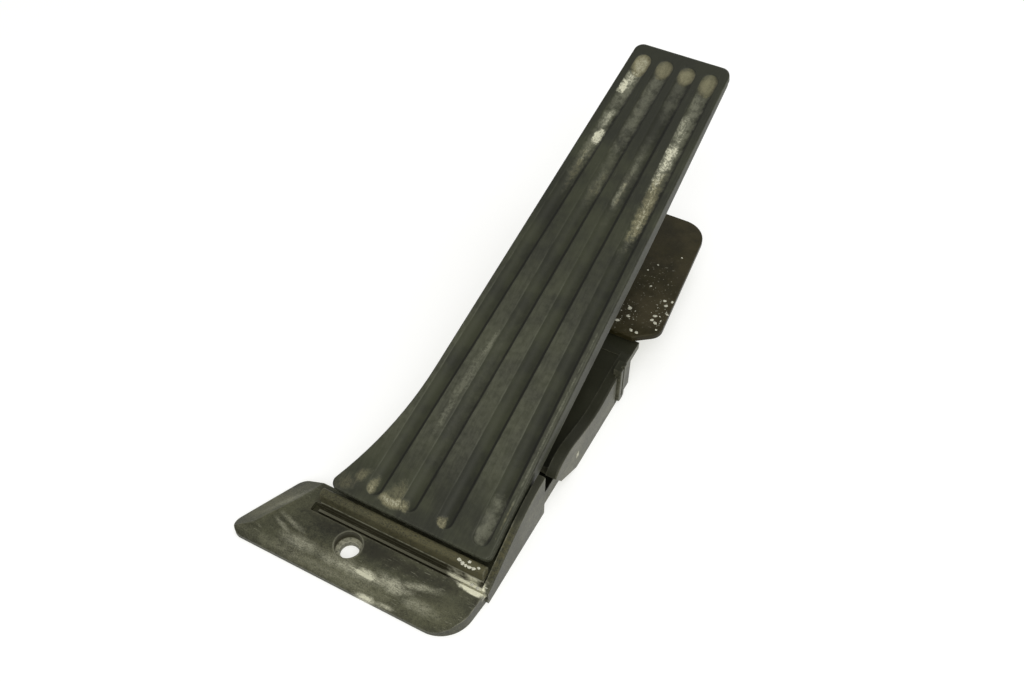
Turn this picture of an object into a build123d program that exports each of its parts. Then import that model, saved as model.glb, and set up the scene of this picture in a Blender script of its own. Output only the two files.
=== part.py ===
from build123d import *
from math import atan2, cos, hypot, radians, sin, tan
import os

os.makedirs("parts", exist_ok=True)

# Accelerator pedal module with a floor hinge, in millimetres.
# The origin is the centre of the fixing hole on the floor: +X right, +Y from heel to toe, +Z up.

# Pad: a tapered treadle, sized along its own sloping top face
PAD_LENGTH = 251.5
PAD_TOE_WIDTH = 47.8
PAD_HEEL_WIDTH = 65.8
PAD_FLARED_WIDTH = 80.0
PAD_FLARE_START = 66.0
PAD_RIGHT = 59.0
PAD_HEEL_Y = 15.5
PAD_HEEL_Z = 18.0
PAD_TILT = 21.2
PAD_PLATE = 4.0
PAD_TOE_CORNER = 4.5
PAD_HEEL_CORNER = 3.5
PAD_EDGE_ROUND = 1.2
SKIRT_WALL = 2.5
SKIRT_STEP = 0.7
SKIRT_DEPTH = 12.0
SKIRT_TOE_DEPTH = 7.5
SKIRT_HEEL_DEPTH = 6.0
SKIRT_FULL_FROM = 26.0
SKIRT_FULL_TO = 150.0
PAD_RIB = 2.0
PAD_RIB_DEPTH = 7.0
PAD_CROSS_RIBS = (40.0, 66.0, 90.0, 176.0, 202.0, 228.0)
PAD_SIDE_RIB = 26.0

# Flutes: round-bottomed channels that fan out from toe to heel
FLUTE_COUNT = 4
FLUTE_WIDTH = 8.2
FLUTE_DEPTH = 1.6
FLUTE_LIP_ROUND = 0.5
FLUTE_RIGHT_MARGIN = 7.4
FLUTE_TOE_PITCH = 11.2
FLUTE_HEEL_PITCH = 17.2
FLUTE_HEEL_MARGIN = 8.2
FLUTE_TOE_MARGIN = 9.7

# Hinge at the heel
PRESS_ANGLE = 12.5
HINGE_ALONG = 10.0
HINGE_DEPTH = 10.0
HINGE_PIN_R = 2.5
KNUCKLE_R = 4.0
KNUCKLE_LENGTH = 10.0
EAR_LENGTH = 6.0
HINGE_SIDE_GAP = 0.5
HINGE_TROUGH_GAP = 0.5
HINGE_LEFT_MARGIN = 15.0
HINGE_RIGHT_MARGIN = 7.0
PIN_CLIP_R = 4.2
PIN_CLIP = 1.0
PIN_END = 1.0

# Fits: radial clearance of a running shaft and of a pressed pin, and the gaps between moving faces
RUNNING = 0.06
PRESSED = 0.02
SEAT_GAP = 0.3
SIDE_GAP = 0.15

# Foot flap in front of the hinge
FOOT_FRONT_Y = -15.8
FOOT_BACK_Y = 20.5
FOOT_LEFT_FRONT = -54.3
FOOT_LEFT_BACK = -37.9
FOOT_RIGHT_FRONT = 59.6
FOOT_RIGHT_BACK = 63.0
FOOT_LEFT_CORNER = 5.5
FOOT_RIGHT_CORNER = 15.0
FOOT_LIP = 2.2
FOOT_CREASE_Y = -9.4
FOOT_CREASE_Z = 6.8
FOOT_TOP_Z = 8.2
FOOT_SHELL = 2.4
FOOT_RIB = 2.0
FOOT_RIB_PITCH = 19.0
FOOT_RIB_LANES = (-2, -1, 1, 2)
FOOT_CREASE_ROUND = 3.0
BEVEL_FRONT = (-50.9, -8.2, 2.2)
BEVEL_BACK = (-41.3, 13.0, 2.2)
BEVEL_CREST = (-36.0, 3.3, 7.2)
FIXING_HOLE_R = 4.2
FIXING_RECESS_R = 6.0
FIXING_SEAT_Z = 3.0
FIXING_BOSS_R = 9.0
GROOVE_Y = 6.6
GROOVE_Z = 5.4
GROOVE_LEFT_MARGIN = 3.0
GROOVE_RIB = 1.2
GROOVE_RIB_Z = 6.9

# Hinge bar between the foot flap and the pad
BAR_THICKNESS = 4.1
BAR_GAP = 0.4
BAR_TOP_Z = 16.6
BAR_LEFT = -21.0
BAR_ROUND = 1.8

# Base: deck, cheek and side rails
WALL = 2.5
DECK = 3.0
DECK_Z = 9.0
BASE_LEFT = -4.0
CHEEK_GAP = 0.8
CHEEK_WALL = 3.2
CHEEK_FRONT_Y = 8.0
CHEEK_BACK_Y = 57.5
CHEEK_EDGE = ((0.0, 8.2), (0.32, 16.5), (0.62, 23.7), (1.0, 27.4))
RAIL_FRONT_Y = 64.0
RAIL_WIDTH = 11.0
RAIL_SHELF = 15.0
RAIL_WALL = 5.0
RAIL_GAP = 2.0
RAIL_SLED_Y = 22.0
RAIL_KNEE_Y = 6.0
RAIL_KNEE_Z = 9.5
RAIL_EDGE = ((0.0, 18.5), (0.1, 23.2), (0.3, 21.2), (0.53, 17.8), (0.75, 19.6), (1.0, 20.0))
EDGE_ROUND = 0.8
TONGUE_Y = 130.0
TONGUE_WIDTH = 6.0
TONGUE_GROOVE = 1.2
TONGUE_FOOT_ROUND = 2.4
TONGUE_EDGE_ROUND = 0.5
TONGUE_PROUD = 1.4
TONGUE_TOP_Z = 24.0
TONGUE_FOOT_Z = 1.0
TONGUE_SLOT = 1.1
RIB_PITCH = 22.0
RIB = 2.0
DECK_LONG_RIBS = 2

# Sensor housing at the toe end: an open lever bay on the left and a closed chamber on the right
HOUSING_FRONT_Y = 139.0
HOUSING_BACK_Y = 228.0
HOUSING_RIGHT = 57.0
HOUSING_TOP_Z = 20.0
HOUSING_FLOOR = 3.0
HOUSING_SHELF = 4.0
BAY_WIDTH = 34.0
CHAMBER_FRONT_Y = 150.5

# Lid with the side wing, its seal and screws
LID = 3.0
SEAL = 1.0
WING_FRONT_LEFT = (61.6, 148.6)
WING_FRONT_RIGHT = (72.4, 156.9)
WING_BACK_RIGHT = (65.1, 234.8)
WING_FRONT_CORNER = 7.0
WING_BACK_CORNER = 13.0
SCREW_R = 2.0
SCREW_HEAD_R = 3.8
SCREW_HEAD = 2.0
SCREW_SLOT = 1.0
SCREW_LENGTH = 14.0
SCREW_BOSS_R = 4.2
SCREW_INSET = 3.9
SCREW_RIGHT_INSET = 10.5
SCREW_RIGHT_Y = 168.0

# Sensor lever, its shaft and springs
PIVOT_Y = 205.0
PIVOT_Z = 13.0
LEVER_LEAD_RATIO = 1.03
ROLLER_ALONG = 130.0
ROLLER_DEPTH = 15.5
ROLLER_R = 7.0
ROLLER_WIDTH = 8.0
ROLLER_SIDE_GAP = 0.4
ROLLER_PIN_R = 2.0
ROLLER_PIN_END = 0.5
ARM_HALF_HEIGHT = 5.0
ARM_ROOT_HALF_HEIGHT = 6.0
FORK_CHEEK = 3.0
FORK_R = 4.6
FORK_REACH = 10.0
FORK_OVERLAP = 9.0
HUB_R = 6.8
SHAFT_R = 3.0
BUSH_WALL = 1.5
BUSH_FLANGE = 1.0
BUSH_FLANGE_R = 6.2
WASHER = 1.2
WASHER_R = 6.4
SPRING_WIRE = 1.8
SPRING_HUB_GAP = 0.5
SPRING_TURNS = 3
SPRING_PITCH = 2.0
SPRING_LEG = 26.0
SPRING_FLOOR_LEG = 24.0
PEG_R = 2.0
PEG_LENGTH = 3.0
PEG_ALONG = 22.0
PEG_GAP = 0.1
LUG_R = 3.5
REST_LUG_WIDTH = 8.0
REST_LUG_DROP = 4.0
REST_LUG_RISE = 2.0
BUFFER_SIZE = 7.0
TRACK_SIDE_GAP = 0.2
TRACK_SIDE_MARGIN = 1.0
TRACK_OVERRUN = 0.15
TRACK_POINTS = 9

# Sensor parts in the chamber
MAGNET_R = 5.4
MAGNET = 4.0
CARRIER_R = 7.0
CARRIER = 7.0
CARRIER_FLOOR = 0.6
SHAFT_SEAL = 1.6
SHAFT_SEAL_R = 6.0
AIR_GAP = 2.2
CHIP = 1.5
CHIP_WIDTH = 6.0
CHIP_HEIGHT = 5.0
CHIP_PITCH = 6.6
BOARD = 1.6
BOARD_FRONT_Y = 174.6
BOARD_HEIGHT = 15.5

# Connector socket in the right wall and its terminals
SOCKET_Y = 187.0
SOCKET_Z = 10.75
SOCKET_WIDTH = 17.0
SOCKET_HEIGHT = 14.0
SOCKET_WALL = 1.6
SOCKET_FLOOR = 2.0
SOCKET_FLANGE = 1.5
SOCKET_REACH = 7.5
SOCKET_WINDOW_GAP = 0.1
TERMINAL = 0.8
TERMINAL_COLUMNS = 3
TERMINAL_ROWS = 2
TERMINAL_PITCH = 3.6
TERMINAL_INSIDE = 0.9
TERMINAL_TIP_GAP = 4.5

# Rubber stop under the pad
STOP_X = 45.0
STOP_Y = 118.0
STOP_R = 5.0
STOP_BODY = 5.5
STOP_POST_R = 7.0
STOP_STEM_R = 2.5
STOP_STEM = 5.0

# Places worked out from the sizes above
TILT = radians(PAD_TILT)
PRESS = radians(PRESS_ANGLE)
PRESSED_TILT = TILT - PRESS
BEYOND = 400.0


def on_pad(along, depth):
    """Y and Z of a point on the pad at rest, from its heel edge and its depth under the top face"""
    return (
        PAD_HEEL_Y + along * cos(TILT) + depth * sin(TILT),
        PAD_HEEL_Z + along * sin(TILT) - depth * cos(TILT),
    )


def into_pad(point):
    """Distance from the heel edge and depth under the top face of a YZ point, with the pad at rest"""
    dy = point[0] - PAD_HEEL_Y
    dz = point[1] - PAD_HEEL_Z
    return (dy * cos(TILT) + dz * sin(TILT), dy * sin(TILT) - dz * cos(TILT))


def turned(point, centre, angle):
    """Y and Z of a point turned about a centre, right-handed about +X"""
    dy = point[0] - centre[0]
    dz = point[1] - centre[1]
    return (
        centre[0] + dy * cos(angle) - dz * sin(angle),
        centre[1] + dy * sin(angle) + dz * cos(angle),
    )


HINGE = on_pad(HINGE_ALONG, HINGE_DEPTH)
PIVOT = (PIVOT_Y, PIVOT_Z)
ROLLER_REST = on_pad(ROLLER_ALONG, ROLLER_DEPTH)
LEVER_RATIO = LEVER_LEAD_RATIO * (ROLLER_REST[0] - HINGE[0]) / (PIVOT_Y - ROLLER_REST[0])
ARM_LENGTH = hypot(ROLLER_REST[0] - PIVOT_Y, ROLLER_REST[1] - PIVOT_Z)
ARM_ANGLE = atan2(ROLLER_REST[1] - PIVOT_Z, ROLLER_REST[0] - PIVOT_Y)
BAY_LEFT = BASE_LEFT + WALL
BAY_RIGHT = BAY_LEFT + BAY_WIDTH
BAY_MIDDLE = (BAY_LEFT + BAY_RIGHT) / 2
CHAMBER_LEFT = BAY_RIGHT + WALL
CHAMBER_RIGHT = HOUSING_RIGHT - WALL
CHAMBER_FRONT = CHAMBER_FRONT_Y + WALL
HOUSING_BACK = HOUSING_BACK_Y - WALL
LID_Z = HOUSING_TOP_Z + SEAL
LID_TOP_Z = LID_Z + LID
BAR_BACK_Y = PAD_HEEL_Y - BAR_GAP
BAR_FRONT_Y = BAR_BACK_Y - BAR_THICKNESS
CHEEK_LEFT = PAD_RIGHT + CHEEK_GAP
DECK_RIGHT = CHEEK_LEFT + WALL / 2
RAIL_LEFT = CHEEK_LEFT - RAIL_SHELF
RAIL_RIGHT = CHEEK_LEFT + RAIL_WALL
RAIL_BACK_Y = HOUSING_FRONT_Y + WALL
EAR_LEFT = PAD_RIGHT - PAD_FLARED_WIDTH + HINGE_LEFT_MARGIN
EAR_RIGHT = PAD_RIGHT - HINGE_RIGHT_MARGIN
HUB_LEFT = BAY_LEFT + BUSH_FLANGE + WASHER + SIDE_GAP
HUB_RIGHT = BAY_RIGHT - BUSH_FLANGE - WASHER - SIDE_GAP
ARM_HALF = ROLLER_WIDTH / 2 + ROLLER_SIDE_GAP
FORK_HALF = ARM_HALF + FORK_CHEEK
TRACK_HALF = ROLLER_WIDTH / 2 + TRACK_SIDE_MARGIN
SPRING_R = HUB_R + SPRING_HUB_GAP + SPRING_WIRE / 2
PEG_UP = SPRING_R + SPRING_WIRE / 2 + PEG_GAP + PEG_R
BUFFER_Y = PIVOT_Y + HUB_R + SEAT_GAP
BUFFER_TOP_Z = PIVOT_Z - REST_LUG_DROP - SEAT_GAP
CARRIER_X = CHAMBER_LEFT + SHAFT_SEAL + SEAT_GAP
MAGNET_X = CARRIER_X + CARRIER
SHAFT_END = MAGNET_X - MAGNET - CARRIER_FLOOR
BOARD_X = MAGNET_X + AIR_GAP + CHIP
SOCKET_MOUTH = HOUSING_RIGHT + SOCKET_REACH
SCREW_LEFT_X = CHAMBER_LEFT + SCREW_INSET
SCREW_RIGHT_X = CHAMBER_RIGHT - SCREW_RIGHT_INSET
SCREW_SPOTS = (
    (SCREW_RIGHT_X, SCREW_RIGHT_Y),
    (SCREW_LEFT_X, CHAMBER_FRONT + SCREW_INSET),
    (SCREW_LEFT_X, HOUSING_BACK - SCREW_INSET),
)


def pressed_face_z(y, depth):
    """Height of a plane at a depth under the pad's top face when the pad is fully pressed"""
    return HINGE[1] + (HINGE_DEPTH - depth) / cos(PRESSED_TILT) + (y - HINGE[0]) * tan(PRESSED_TILT)


STOP_TOP_Z = pressed_face_z(STOP_Y, PAD_PLATE)
STOP_CENTRE_Z = STOP_TOP_Z - (STOP_R + SEAT_GAP) / cos(PRESSED_TILT)
STOP_POST_Z = STOP_CENTRE_Z - STOP_BODY


def block(x0, x1, y0, y1, z0, z1):
    """Box between two corners"""
    centre = Pos((x0 + x1) / 2, (y0 + y1) / 2, (z0 + z1) / 2)
    return centre * Box(x1 - x0, y1 - y0, z1 - z0)


def side_prism(points, x0, x1):
    """Closed YZ outline drawn out along X"""
    outline = make_face(Polyline(*points, close=True))
    return Pos(X=x0) * extrude(Plane.YZ * outline, x1 - x0)


def upright(x, y, z0, z1, radius):
    """Upright cylinder on a plan point"""
    return Pos(x, y, z0) * Cylinder(radius, z1 - z0, align=(Align.CENTER, Align.CENTER, Align.MIN))


def crossbar(point, x0, x1, radius):
    """Cylinder along X through a YZ point"""
    bar = Cylinder(radius, x1 - x0, align=(Align.CENTER, Align.CENTER, Align.MIN))
    return Pos(x0, point[0], point[1]) * Rot(Y=90) * bar


def ring(point, x0, x1, outer, inner):
    """Ring along X round a YZ point"""
    return crossbar(point, x0, x1, outer) - crossbar(point, x0, x1, inner)


def outer_edges(shape):
    """Edges of a prism's right-hand face that lie above the floor"""
    return shape.faces().sort_by(Axis.X)[-1].edges().filter_by(lambda edge: edge.center().Z > EDGE_ROUND)


def place_on_pad(shape):
    """Carry a shape from the pad's own flat frame to its sloping place"""
    return Pos(0, PAD_HEEL_Y, PAD_HEEL_Z) * Rot(X=PAD_TILT) * shape


def pad_left(along):
    """X of the pad's straight left edge"""
    return PAD_RIGHT - PAD_HEEL_WIDTH + (PAD_HEEL_WIDTH - PAD_TOE_WIDTH) * along / PAD_LENGTH


def pad_outline():
    """Plan face of the pad: straight right side, tapered left side that flares out at the heel"""
    toe_left = (pad_left(PAD_LENGTH), PAD_LENGTH)
    flare = (pad_left(PAD_FLARE_START), PAD_FLARE_START)
    heel_left = (PAD_RIGHT - PAD_FLARED_WIDTH, 0)
    straight = Line(toe_left, flare)
    curve = TangentArc(flare, heel_left, tangent=straight % 1)
    rest = Polyline(heel_left, (PAD_RIGHT, 0), (PAD_RIGHT, PAD_LENGTH), toe_left)
    face = make_face([straight, curve, rest])
    face = fillet(face.vertices().group_by(Axis.Y)[-1], PAD_TOE_CORNER)
    return fillet(face.vertices().group_by(Axis.Y)[0], PAD_HEEL_CORNER)


def flute_cutters():
    """Round-nosed rods that hollow the flutes out of the plate"""
    rod_r = (FLUTE_WIDTH**2 / 4 + FLUTE_DEPTH**2) / (2 * FLUTE_DEPTH)
    height = rod_r - FLUTE_DEPTH
    right = PAD_RIGHT - FLUTE_RIGHT_MARGIN
    cutters = []
    for index in range(FLUTE_COUNT):
        heel = Vector(right - index * FLUTE_HEEL_PITCH, FLUTE_HEEL_MARGIN, height)
        toe = Vector(right - index * FLUTE_TOE_PITCH, PAD_LENGTH - FLUTE_TOE_MARGIN, height)
        run = toe - heel
        half = [
            CenterArc((0, 0), rod_r, 90, 90),
            Line((0, rod_r), (run.length, rod_r)),
            CenterArc((run.length, 0), rod_r, 0, 90),
            Line((run.length + rod_r, 0), (-rod_r, 0)),
        ]
        rod = revolve(make_face(half), axis=Axis.X)
        cutters.append(Plane(origin=heel, x_dir=run, z_dir=run.cross(Vector(0, 0, 1))) * rod)
    return cutters


def pad_skirt(outline):
    """Wall under the rim of the pad, shallower at both ends"""
    wall = offset(outline, -SKIRT_STEP) - offset(outline, -SKIRT_STEP - SKIRT_WALL)
    depths = [
        (-BEYOND, -PAD_PLATE / 2),
        (-BEYOND, -SKIRT_HEEL_DEPTH),
        (0, -SKIRT_HEEL_DEPTH),
        (SKIRT_FULL_FROM, -SKIRT_DEPTH),
        (SKIRT_FULL_TO, -SKIRT_DEPTH),
        (PAD_LENGTH, -SKIRT_TOE_DEPTH),
        (PAD_LENGTH, -PAD_PLATE / 2),
    ]
    return extrude(wall, -SKIRT_DEPTH) & side_prism(depths, -BEYOND, BEYOND)


def pad_ribs(outline):
    """Stiffening ribs under the plate, held between the skirts"""
    inside = extrude(offset(outline, -SKIRT_STEP - SKIRT_WALL / 2), -PAD_RIB_DEPTH)
    rib_left = BAY_MIDDLE - TRACK_HALF - TRACK_SIDE_GAP
    rib_right = BAY_MIDDLE + TRACK_HALF + TRACK_SIDE_GAP
    lanes = (rib_left - PAD_RIB, rib_right, PAD_RIGHT - PAD_SIDE_RIB)
    start = HINGE_ALONG + KNUCKLE_R + PAD_RIB
    stop = PAD_CROSS_RIBS[-1]
    ribs = [block(x, x + PAD_RIB, start, stop, -PAD_RIB_DEPTH, -PAD_PLATE / 2) for x in lanes]
    for along in PAD_CROSS_RIBS:
        front = along - PAD_RIB / 2
        ribs.append(block(-BEYOND, BEYOND, front, front + PAD_RIB, -PAD_RIB_DEPTH, -PAD_PLATE / 2))
    return [rib & inside for rib in ribs]


def pad_knuckles():
    """Two hinge knuckles under the heel, each on a solid web"""
    pin = (HINGE_ALONG, -HINGE_DEPTH)
    left = EAR_LEFT + EAR_LENGTH + HINGE_SIDE_GAP
    right = EAR_RIGHT - EAR_LENGTH - HINGE_SIDE_GAP - KNUCKLE_LENGTH
    solids = []
    for x in (left, right):
        solids.append(crossbar(pin, x, x + KNUCKLE_LENGTH, KNUCKLE_R))
        solids.append(
            block(
                x,
                x + KNUCKLE_LENGTH,
                HINGE_ALONG - KNUCKLE_R,
                HINGE_ALONG + KNUCKLE_R,
                -HINGE_DEPTH,
                -PAD_PLATE / 2,
            )
        )
    return solids


def pedal_pad():
    """Fluted pad with its skirt, ribs and knuckles"""
    outline = pad_outline()
    plate = extrude(outline, -PAD_PLATE)
    plate = fillet(plate.faces().sort_by(Axis.Z)[-1].edges(), PAD_EDGE_ROUND)
    plate = plate - flute_cutters()
    lips = []
    for wire in plate.faces().sort_by(Axis.Z)[-1].inner_wires():
        lips.extend(wire.edges())
    plate = fillet(lips, FLUTE_LIP_ROUND)
    pad = plate + pad_skirt(outline) + pad_ribs(outline) + pad_knuckles()
    pin = (HINGE_ALONG, -HINGE_DEPTH)
    pad = pad - crossbar(pin, EAR_LEFT, EAR_RIGHT, HINGE_PIN_R + RUNNING)
    return place_on_pad(pad)


def roller_in_pad(share):
    """Roller centre seen from the pad at a share of the full press"""
    centre = turned(ROLLER_REST, PIVOT, LEVER_RATIO * PRESS * share)
    return into_pad(turned(centre, HINGE, PRESS * share))


def track_point(share):
    """Point of the runway that the roller meets at a share of the full press"""
    centre = Vector(*roller_in_pad(share))
    run = Vector(*roller_in_pad(share - TRACK_OVERRUN)) - Vector(*roller_in_pad(share + TRACK_OVERRUN))
    toward = Vector(run.Y, -run.X).normalized()
    contact = centre + toward * (ROLLER_R + SEAT_GAP)
    return (contact.X, -contact.Y)


def roller_track():
    """Runway under the pad, shaped to follow the roller's path"""
    step = (1 + 2 * TRACK_OVERRUN) / (TRACK_POINTS - 1)
    face = [track_point(index * step - TRACK_OVERRUN) for index in range(TRACK_POINTS)]
    curve = Spline(*face)
    back = Polyline(face[-1], (face[-1][0], -PAD_PLATE), (face[0][0], -PAD_PLATE), face[0])
    runway = extrude(Plane.YZ * make_face([curve, back]), 2 * TRACK_HALF)
    return place_on_pad(Pos(X=BAY_MIDDLE - TRACK_HALF) * runway)


def foot_outline(inset):
    """Plan face of the foot flap, drawn in by an inset"""
    points = [
        (FOOT_LEFT_FRONT, FOOT_FRONT_Y),
        (FOOT_RIGHT_FRONT, FOOT_FRONT_Y),
        (FOOT_RIGHT_BACK, FOOT_BACK_Y),
        (FOOT_LEFT_BACK, FOOT_BACK_Y),
    ]
    face = make_face(Polyline(*points, close=True))
    front = face.vertices().group_by(Axis.Y)[0].sort_by(Axis.X)
    face = fillet(front[-1], FOOT_RIGHT_CORNER)
    left = face.vertices().sort_by(Axis.X)
    face = fillet(left[0], FOOT_LEFT_CORNER)
    back = face.vertices().group_by(Axis.Y)[-1].sort_by(Axis.X)
    face = fillet(back[0], FOOT_LEFT_CORNER)
    return offset(face, -inset) if inset else face


def foot_form(inset):
    """Foot flap with its front slope and its bevelled left corner"""
    slope = [
        (FOOT_FRONT_Y, 0),
        (FOOT_FRONT_Y, FOOT_LIP),
        (FOOT_CREASE_Y, FOOT_CREASE_Z),
        (GROOVE_Y, FOOT_TOP_Z),
        (FOOT_BACK_Y, FOOT_TOP_Z),
        (FOOT_BACK_Y, 0),
    ]
    form = side_prism(slope, FOOT_LEFT_FRONT, FOOT_RIGHT_BACK) & extrude(foot_outline(inset), FOOT_TOP_Z)
    along = Vector(*BEVEL_BACK) - Vector(*BEVEL_FRONT)
    across = Vector(*BEVEL_CREST) - Vector(*BEVEL_FRONT)
    facet = Plane(origin=BEVEL_FRONT, x_dir=along, z_dir=across.cross(along))
    return form - facet * Pos(Z=BEYOND / 2) * Box(BEYOND, BEYOND, BEYOND)


def foot_flap():
    """Hollow foot flap with ribs and the boss of the fixing hole"""
    form = foot_form(0)
    creases = form.edges().filter_by(
        lambda edge: edge.center().Z > FOOT_LIP + FOOT_SHELL and edge.center().Y < GROOVE_Y
    )
    front = creases.filter_by(Axis.X)
    form = fillet(front, FOOT_CREASE_ROUND)
    hollow = Pos(Z=-FOOT_SHELL) * foot_form(FOOT_SHELL)
    solid_left = BAR_LEFT - GROOVE_LEFT_MARGIN - FOOT_SHELL
    hollow = hollow - [
        block(solid_left, BEYOND, GROOVE_Y - FOOT_SHELL, BEYOND, -BEYOND, BEYOND),
        upright(0, 0, -BEYOND, BEYOND, FIXING_BOSS_R),
    ]
    lanes = [count * FOOT_RIB_PITCH for count in FOOT_RIB_LANES]
    hollow = hollow - [
        block(x - FOOT_RIB / 2, x + FOOT_RIB / 2, -BEYOND, BEYOND, -BEYOND, BEYOND) for x in lanes
    ]
    return form - hollow


def hinge_bar():
    """Upright bar across the heel edge of the pad"""
    bar = block(BAR_LEFT, PAD_RIGHT, BAR_FRONT_Y, BAR_BACK_Y, 0, BAR_TOP_Z)
    return fillet(bar.edges().filter_by(Axis.X).group_by(Axis.Z)[-1], BAR_ROUND)


def curved_wall(edge, back, foot, thickness):
    """Upright wall beside the pad, its top edge drawn smoothly through shares of its length and heights"""
    front = foot[-1][0]
    top = Spline(*[(front + share * (back - front), z) for share, z in edge])
    rest = Polyline(top @ 1, (back, 0), *foot[:-1], top @ 0)
    wall = Pos(X=CHEEK_LEFT) * extrude(Plane.YZ * make_face([top, rest]), thickness)
    return fillet(outer_edges(wall).filter_by(GeomType.BSPLINE), EDGE_ROUND)


def right_cheek():
    """Curved wall that guards the right side of the hinge"""
    foot = [(CHEEK_FRONT_Y, 0), (CHEEK_FRONT_Y, FOOT_TOP_Z)]
    return curved_wall(CHEEK_EDGE, CHEEK_BACK_Y, foot, CHEEK_WALL)


def rail_foot():
    """Sled front of a side rail, from the floor up to its tip"""
    return [
        (RAIL_FRONT_Y + RAIL_SLED_Y, 0),
        (RAIL_FRONT_Y + RAIL_KNEE_Y, RAIL_KNEE_Z),
        (RAIL_FRONT_Y, RAIL_KNEE_Z),
    ]


def rail_top(y):
    """Height of a side rail under the fully pressed skirt"""
    return min(pressed_face_z(y, SKIRT_DEPTH) - RAIL_GAP, HOUSING_TOP_Z)


def side_rail(x0, x1):
    """Side rail with a sled front, low enough to clear the pressed skirt"""
    start = RAIL_FRONT_Y + RAIL_KNEE_Y
    points = rail_foot()[:-1] + [
        (start, rail_top(start)),
        (RAIL_BACK_Y, rail_top(RAIL_BACK_Y)),
        (RAIL_BACK_Y, 0),
    ]
    return side_prism(points, x0, x1)


def rail_hollow(x0, x1):
    """Space under a side rail, open to the floor"""
    front = RAIL_FRONT_Y + RAIL_SLED_Y + WALL
    return block(x0 + WALL, x1 - WALL, front, HOUSING_FRONT_Y, -BEYOND, DECK_Z - DECK)


def snap_tongue():
    """Upright strap on the right rail with a rounded foot and a groove down its face"""
    half = TONGUE_WIDTH / 2
    face = RAIL_RIGHT + TONGUE_PROUD
    strap = block(
        RAIL_RIGHT - WALL,
        face,
        TONGUE_Y - half,
        TONGUE_Y + half,
        TONGUE_FOOT_Z,
        TONGUE_TOP_Z,
    )
    strap = fillet(strap.edges().filter_by(Axis.X).group_by(Axis.Z)[0], TONGUE_FOOT_ROUND)
    strap = fillet(outer_edges(strap), TONGUE_EDGE_ROUND)
    return strap - block(
        face - TONGUE_GROOVE,
        BEYOND,
        TONGUE_Y - TONGUE_GROOVE / 2,
        TONGUE_Y + TONGUE_GROOVE / 2,
        TONGUE_FOOT_Z + half,
        BEYOND,
    )


def tongue_slots():
    """Two slots in the rail's face beside the strap"""
    half = TONGUE_WIDTH / 2
    slots = []
    for y in (TONGUE_Y - half - TONGUE_SLOT, TONGUE_Y + half):
        slots.append(
            block(RAIL_RIGHT - TONGUE_SLOT, BEYOND, y, y + TONGUE_SLOT, TONGUE_FOOT_Z, BEYOND)
        )
    return slots


def housing():
    """Shell of the sensor housing with its partition and screw bosses"""
    shell = block(BASE_LEFT, HOUSING_RIGHT, HOUSING_FRONT_Y, HOUSING_BACK_Y, 0, HOUSING_TOP_Z)
    shell = shell - [
        block(BAY_LEFT, BAY_RIGHT, RAIL_BACK_Y, HOUSING_BACK, HOUSING_FLOOR, BEYOND),
        block(BAY_LEFT, BAY_RIGHT, -BEYOND, RAIL_BACK_Y, DECK_Z, BEYOND),
        block(CHAMBER_LEFT, CHAMBER_RIGHT, CHAMBER_FRONT, HOUSING_BACK, HOUSING_FLOOR, BEYOND),
        block(CHAMBER_LEFT, CHAMBER_RIGHT, RAIL_BACK_Y, CHAMBER_FRONT_Y, -BEYOND, HOUSING_TOP_Z - WALL),
    ]
    shelf = block(
        HOUSING_RIGHT - WALL,
        RAIL_RIGHT,
        HOUSING_FRONT_Y,
        CHAMBER_FRONT_Y,
        HOUSING_TOP_Z - HOUSING_SHELF,
        HOUSING_TOP_Z,
    )
    bosses = [upright(x, y, HOUSING_FLOOR / 2, LID_Z, SCREW_BOSS_R) for x, y in SCREW_SPOTS]
    return shell + shelf + bosses


def socket_block(x0, x1, margin):
    """Block along X with the socket's outline, widened by a margin"""
    half_y = SOCKET_WIDTH / 2 + margin
    half_z = SOCKET_HEIGHT / 2 + margin
    return block(x0, x1, SOCKET_Y - half_y, SOCKET_Y + half_y, SOCKET_Z - half_z, SOCKET_Z + half_z)


def housing_openings():
    """Bush seats, the socket's window and the screw holes"""
    seat = SHAFT_R + BUSH_WALL + PRESSED
    openings = [
        crossbar(PIVOT, BASE_LEFT, BAY_LEFT, seat),
        crossbar(PIVOT, BAY_RIGHT, CHAMBER_LEFT, seat),
        socket_block(CHAMBER_RIGHT, HOUSING_RIGHT, SOCKET_WINDOW_GAP),
    ]
    for x, y in SCREW_SPOTS:
        openings.append(upright(x, y, LID_TOP_Z - SCREW_LENGTH, BEYOND, SCREW_R + PRESSED))
    return openings


def deck_ribs():
    """Ribs under the deck, open to the floor"""
    ribs = []
    left = BASE_LEFT + WALL / 2
    right = DECK_RIGHT - WALL / 2
    top = DECK_Z - DECK / 2
    front = BAR_BACK_Y - WALL / 2
    back = HOUSING_FRONT_Y + WALL / 2
    for index in range(DECK_LONG_RIBS):
        x = left + (right - left) * (index + 1) / (DECK_LONG_RIBS + 1)
        ribs.append(block(x - RIB / 2, x + RIB / 2, front, back, 0, top))
    y = BAR_BACK_Y + RIB_PITCH
    while y < HOUSING_FRONT_Y - RIB:
        ribs.append(block(left, RAIL_LEFT + WALL / 2, y - RIB / 2, y + RIB / 2, 0, top))
        y = y + RIB_PITCH
    return ribs


def hinge_ears():
    """Two base ears that carry the hinge pin"""
    solids = []
    for x in (EAR_LEFT, EAR_RIGHT - EAR_LENGTH):
        solids.append(crossbar(HINGE, x, x + EAR_LENGTH, KNUCKLE_R))
        solids.append(
            block(x, x + EAR_LENGTH, HINGE[0] - KNUCKLE_R, HINGE[0] + KNUCKLE_R, 0, HINGE[1])
        )
    return solids


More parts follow.
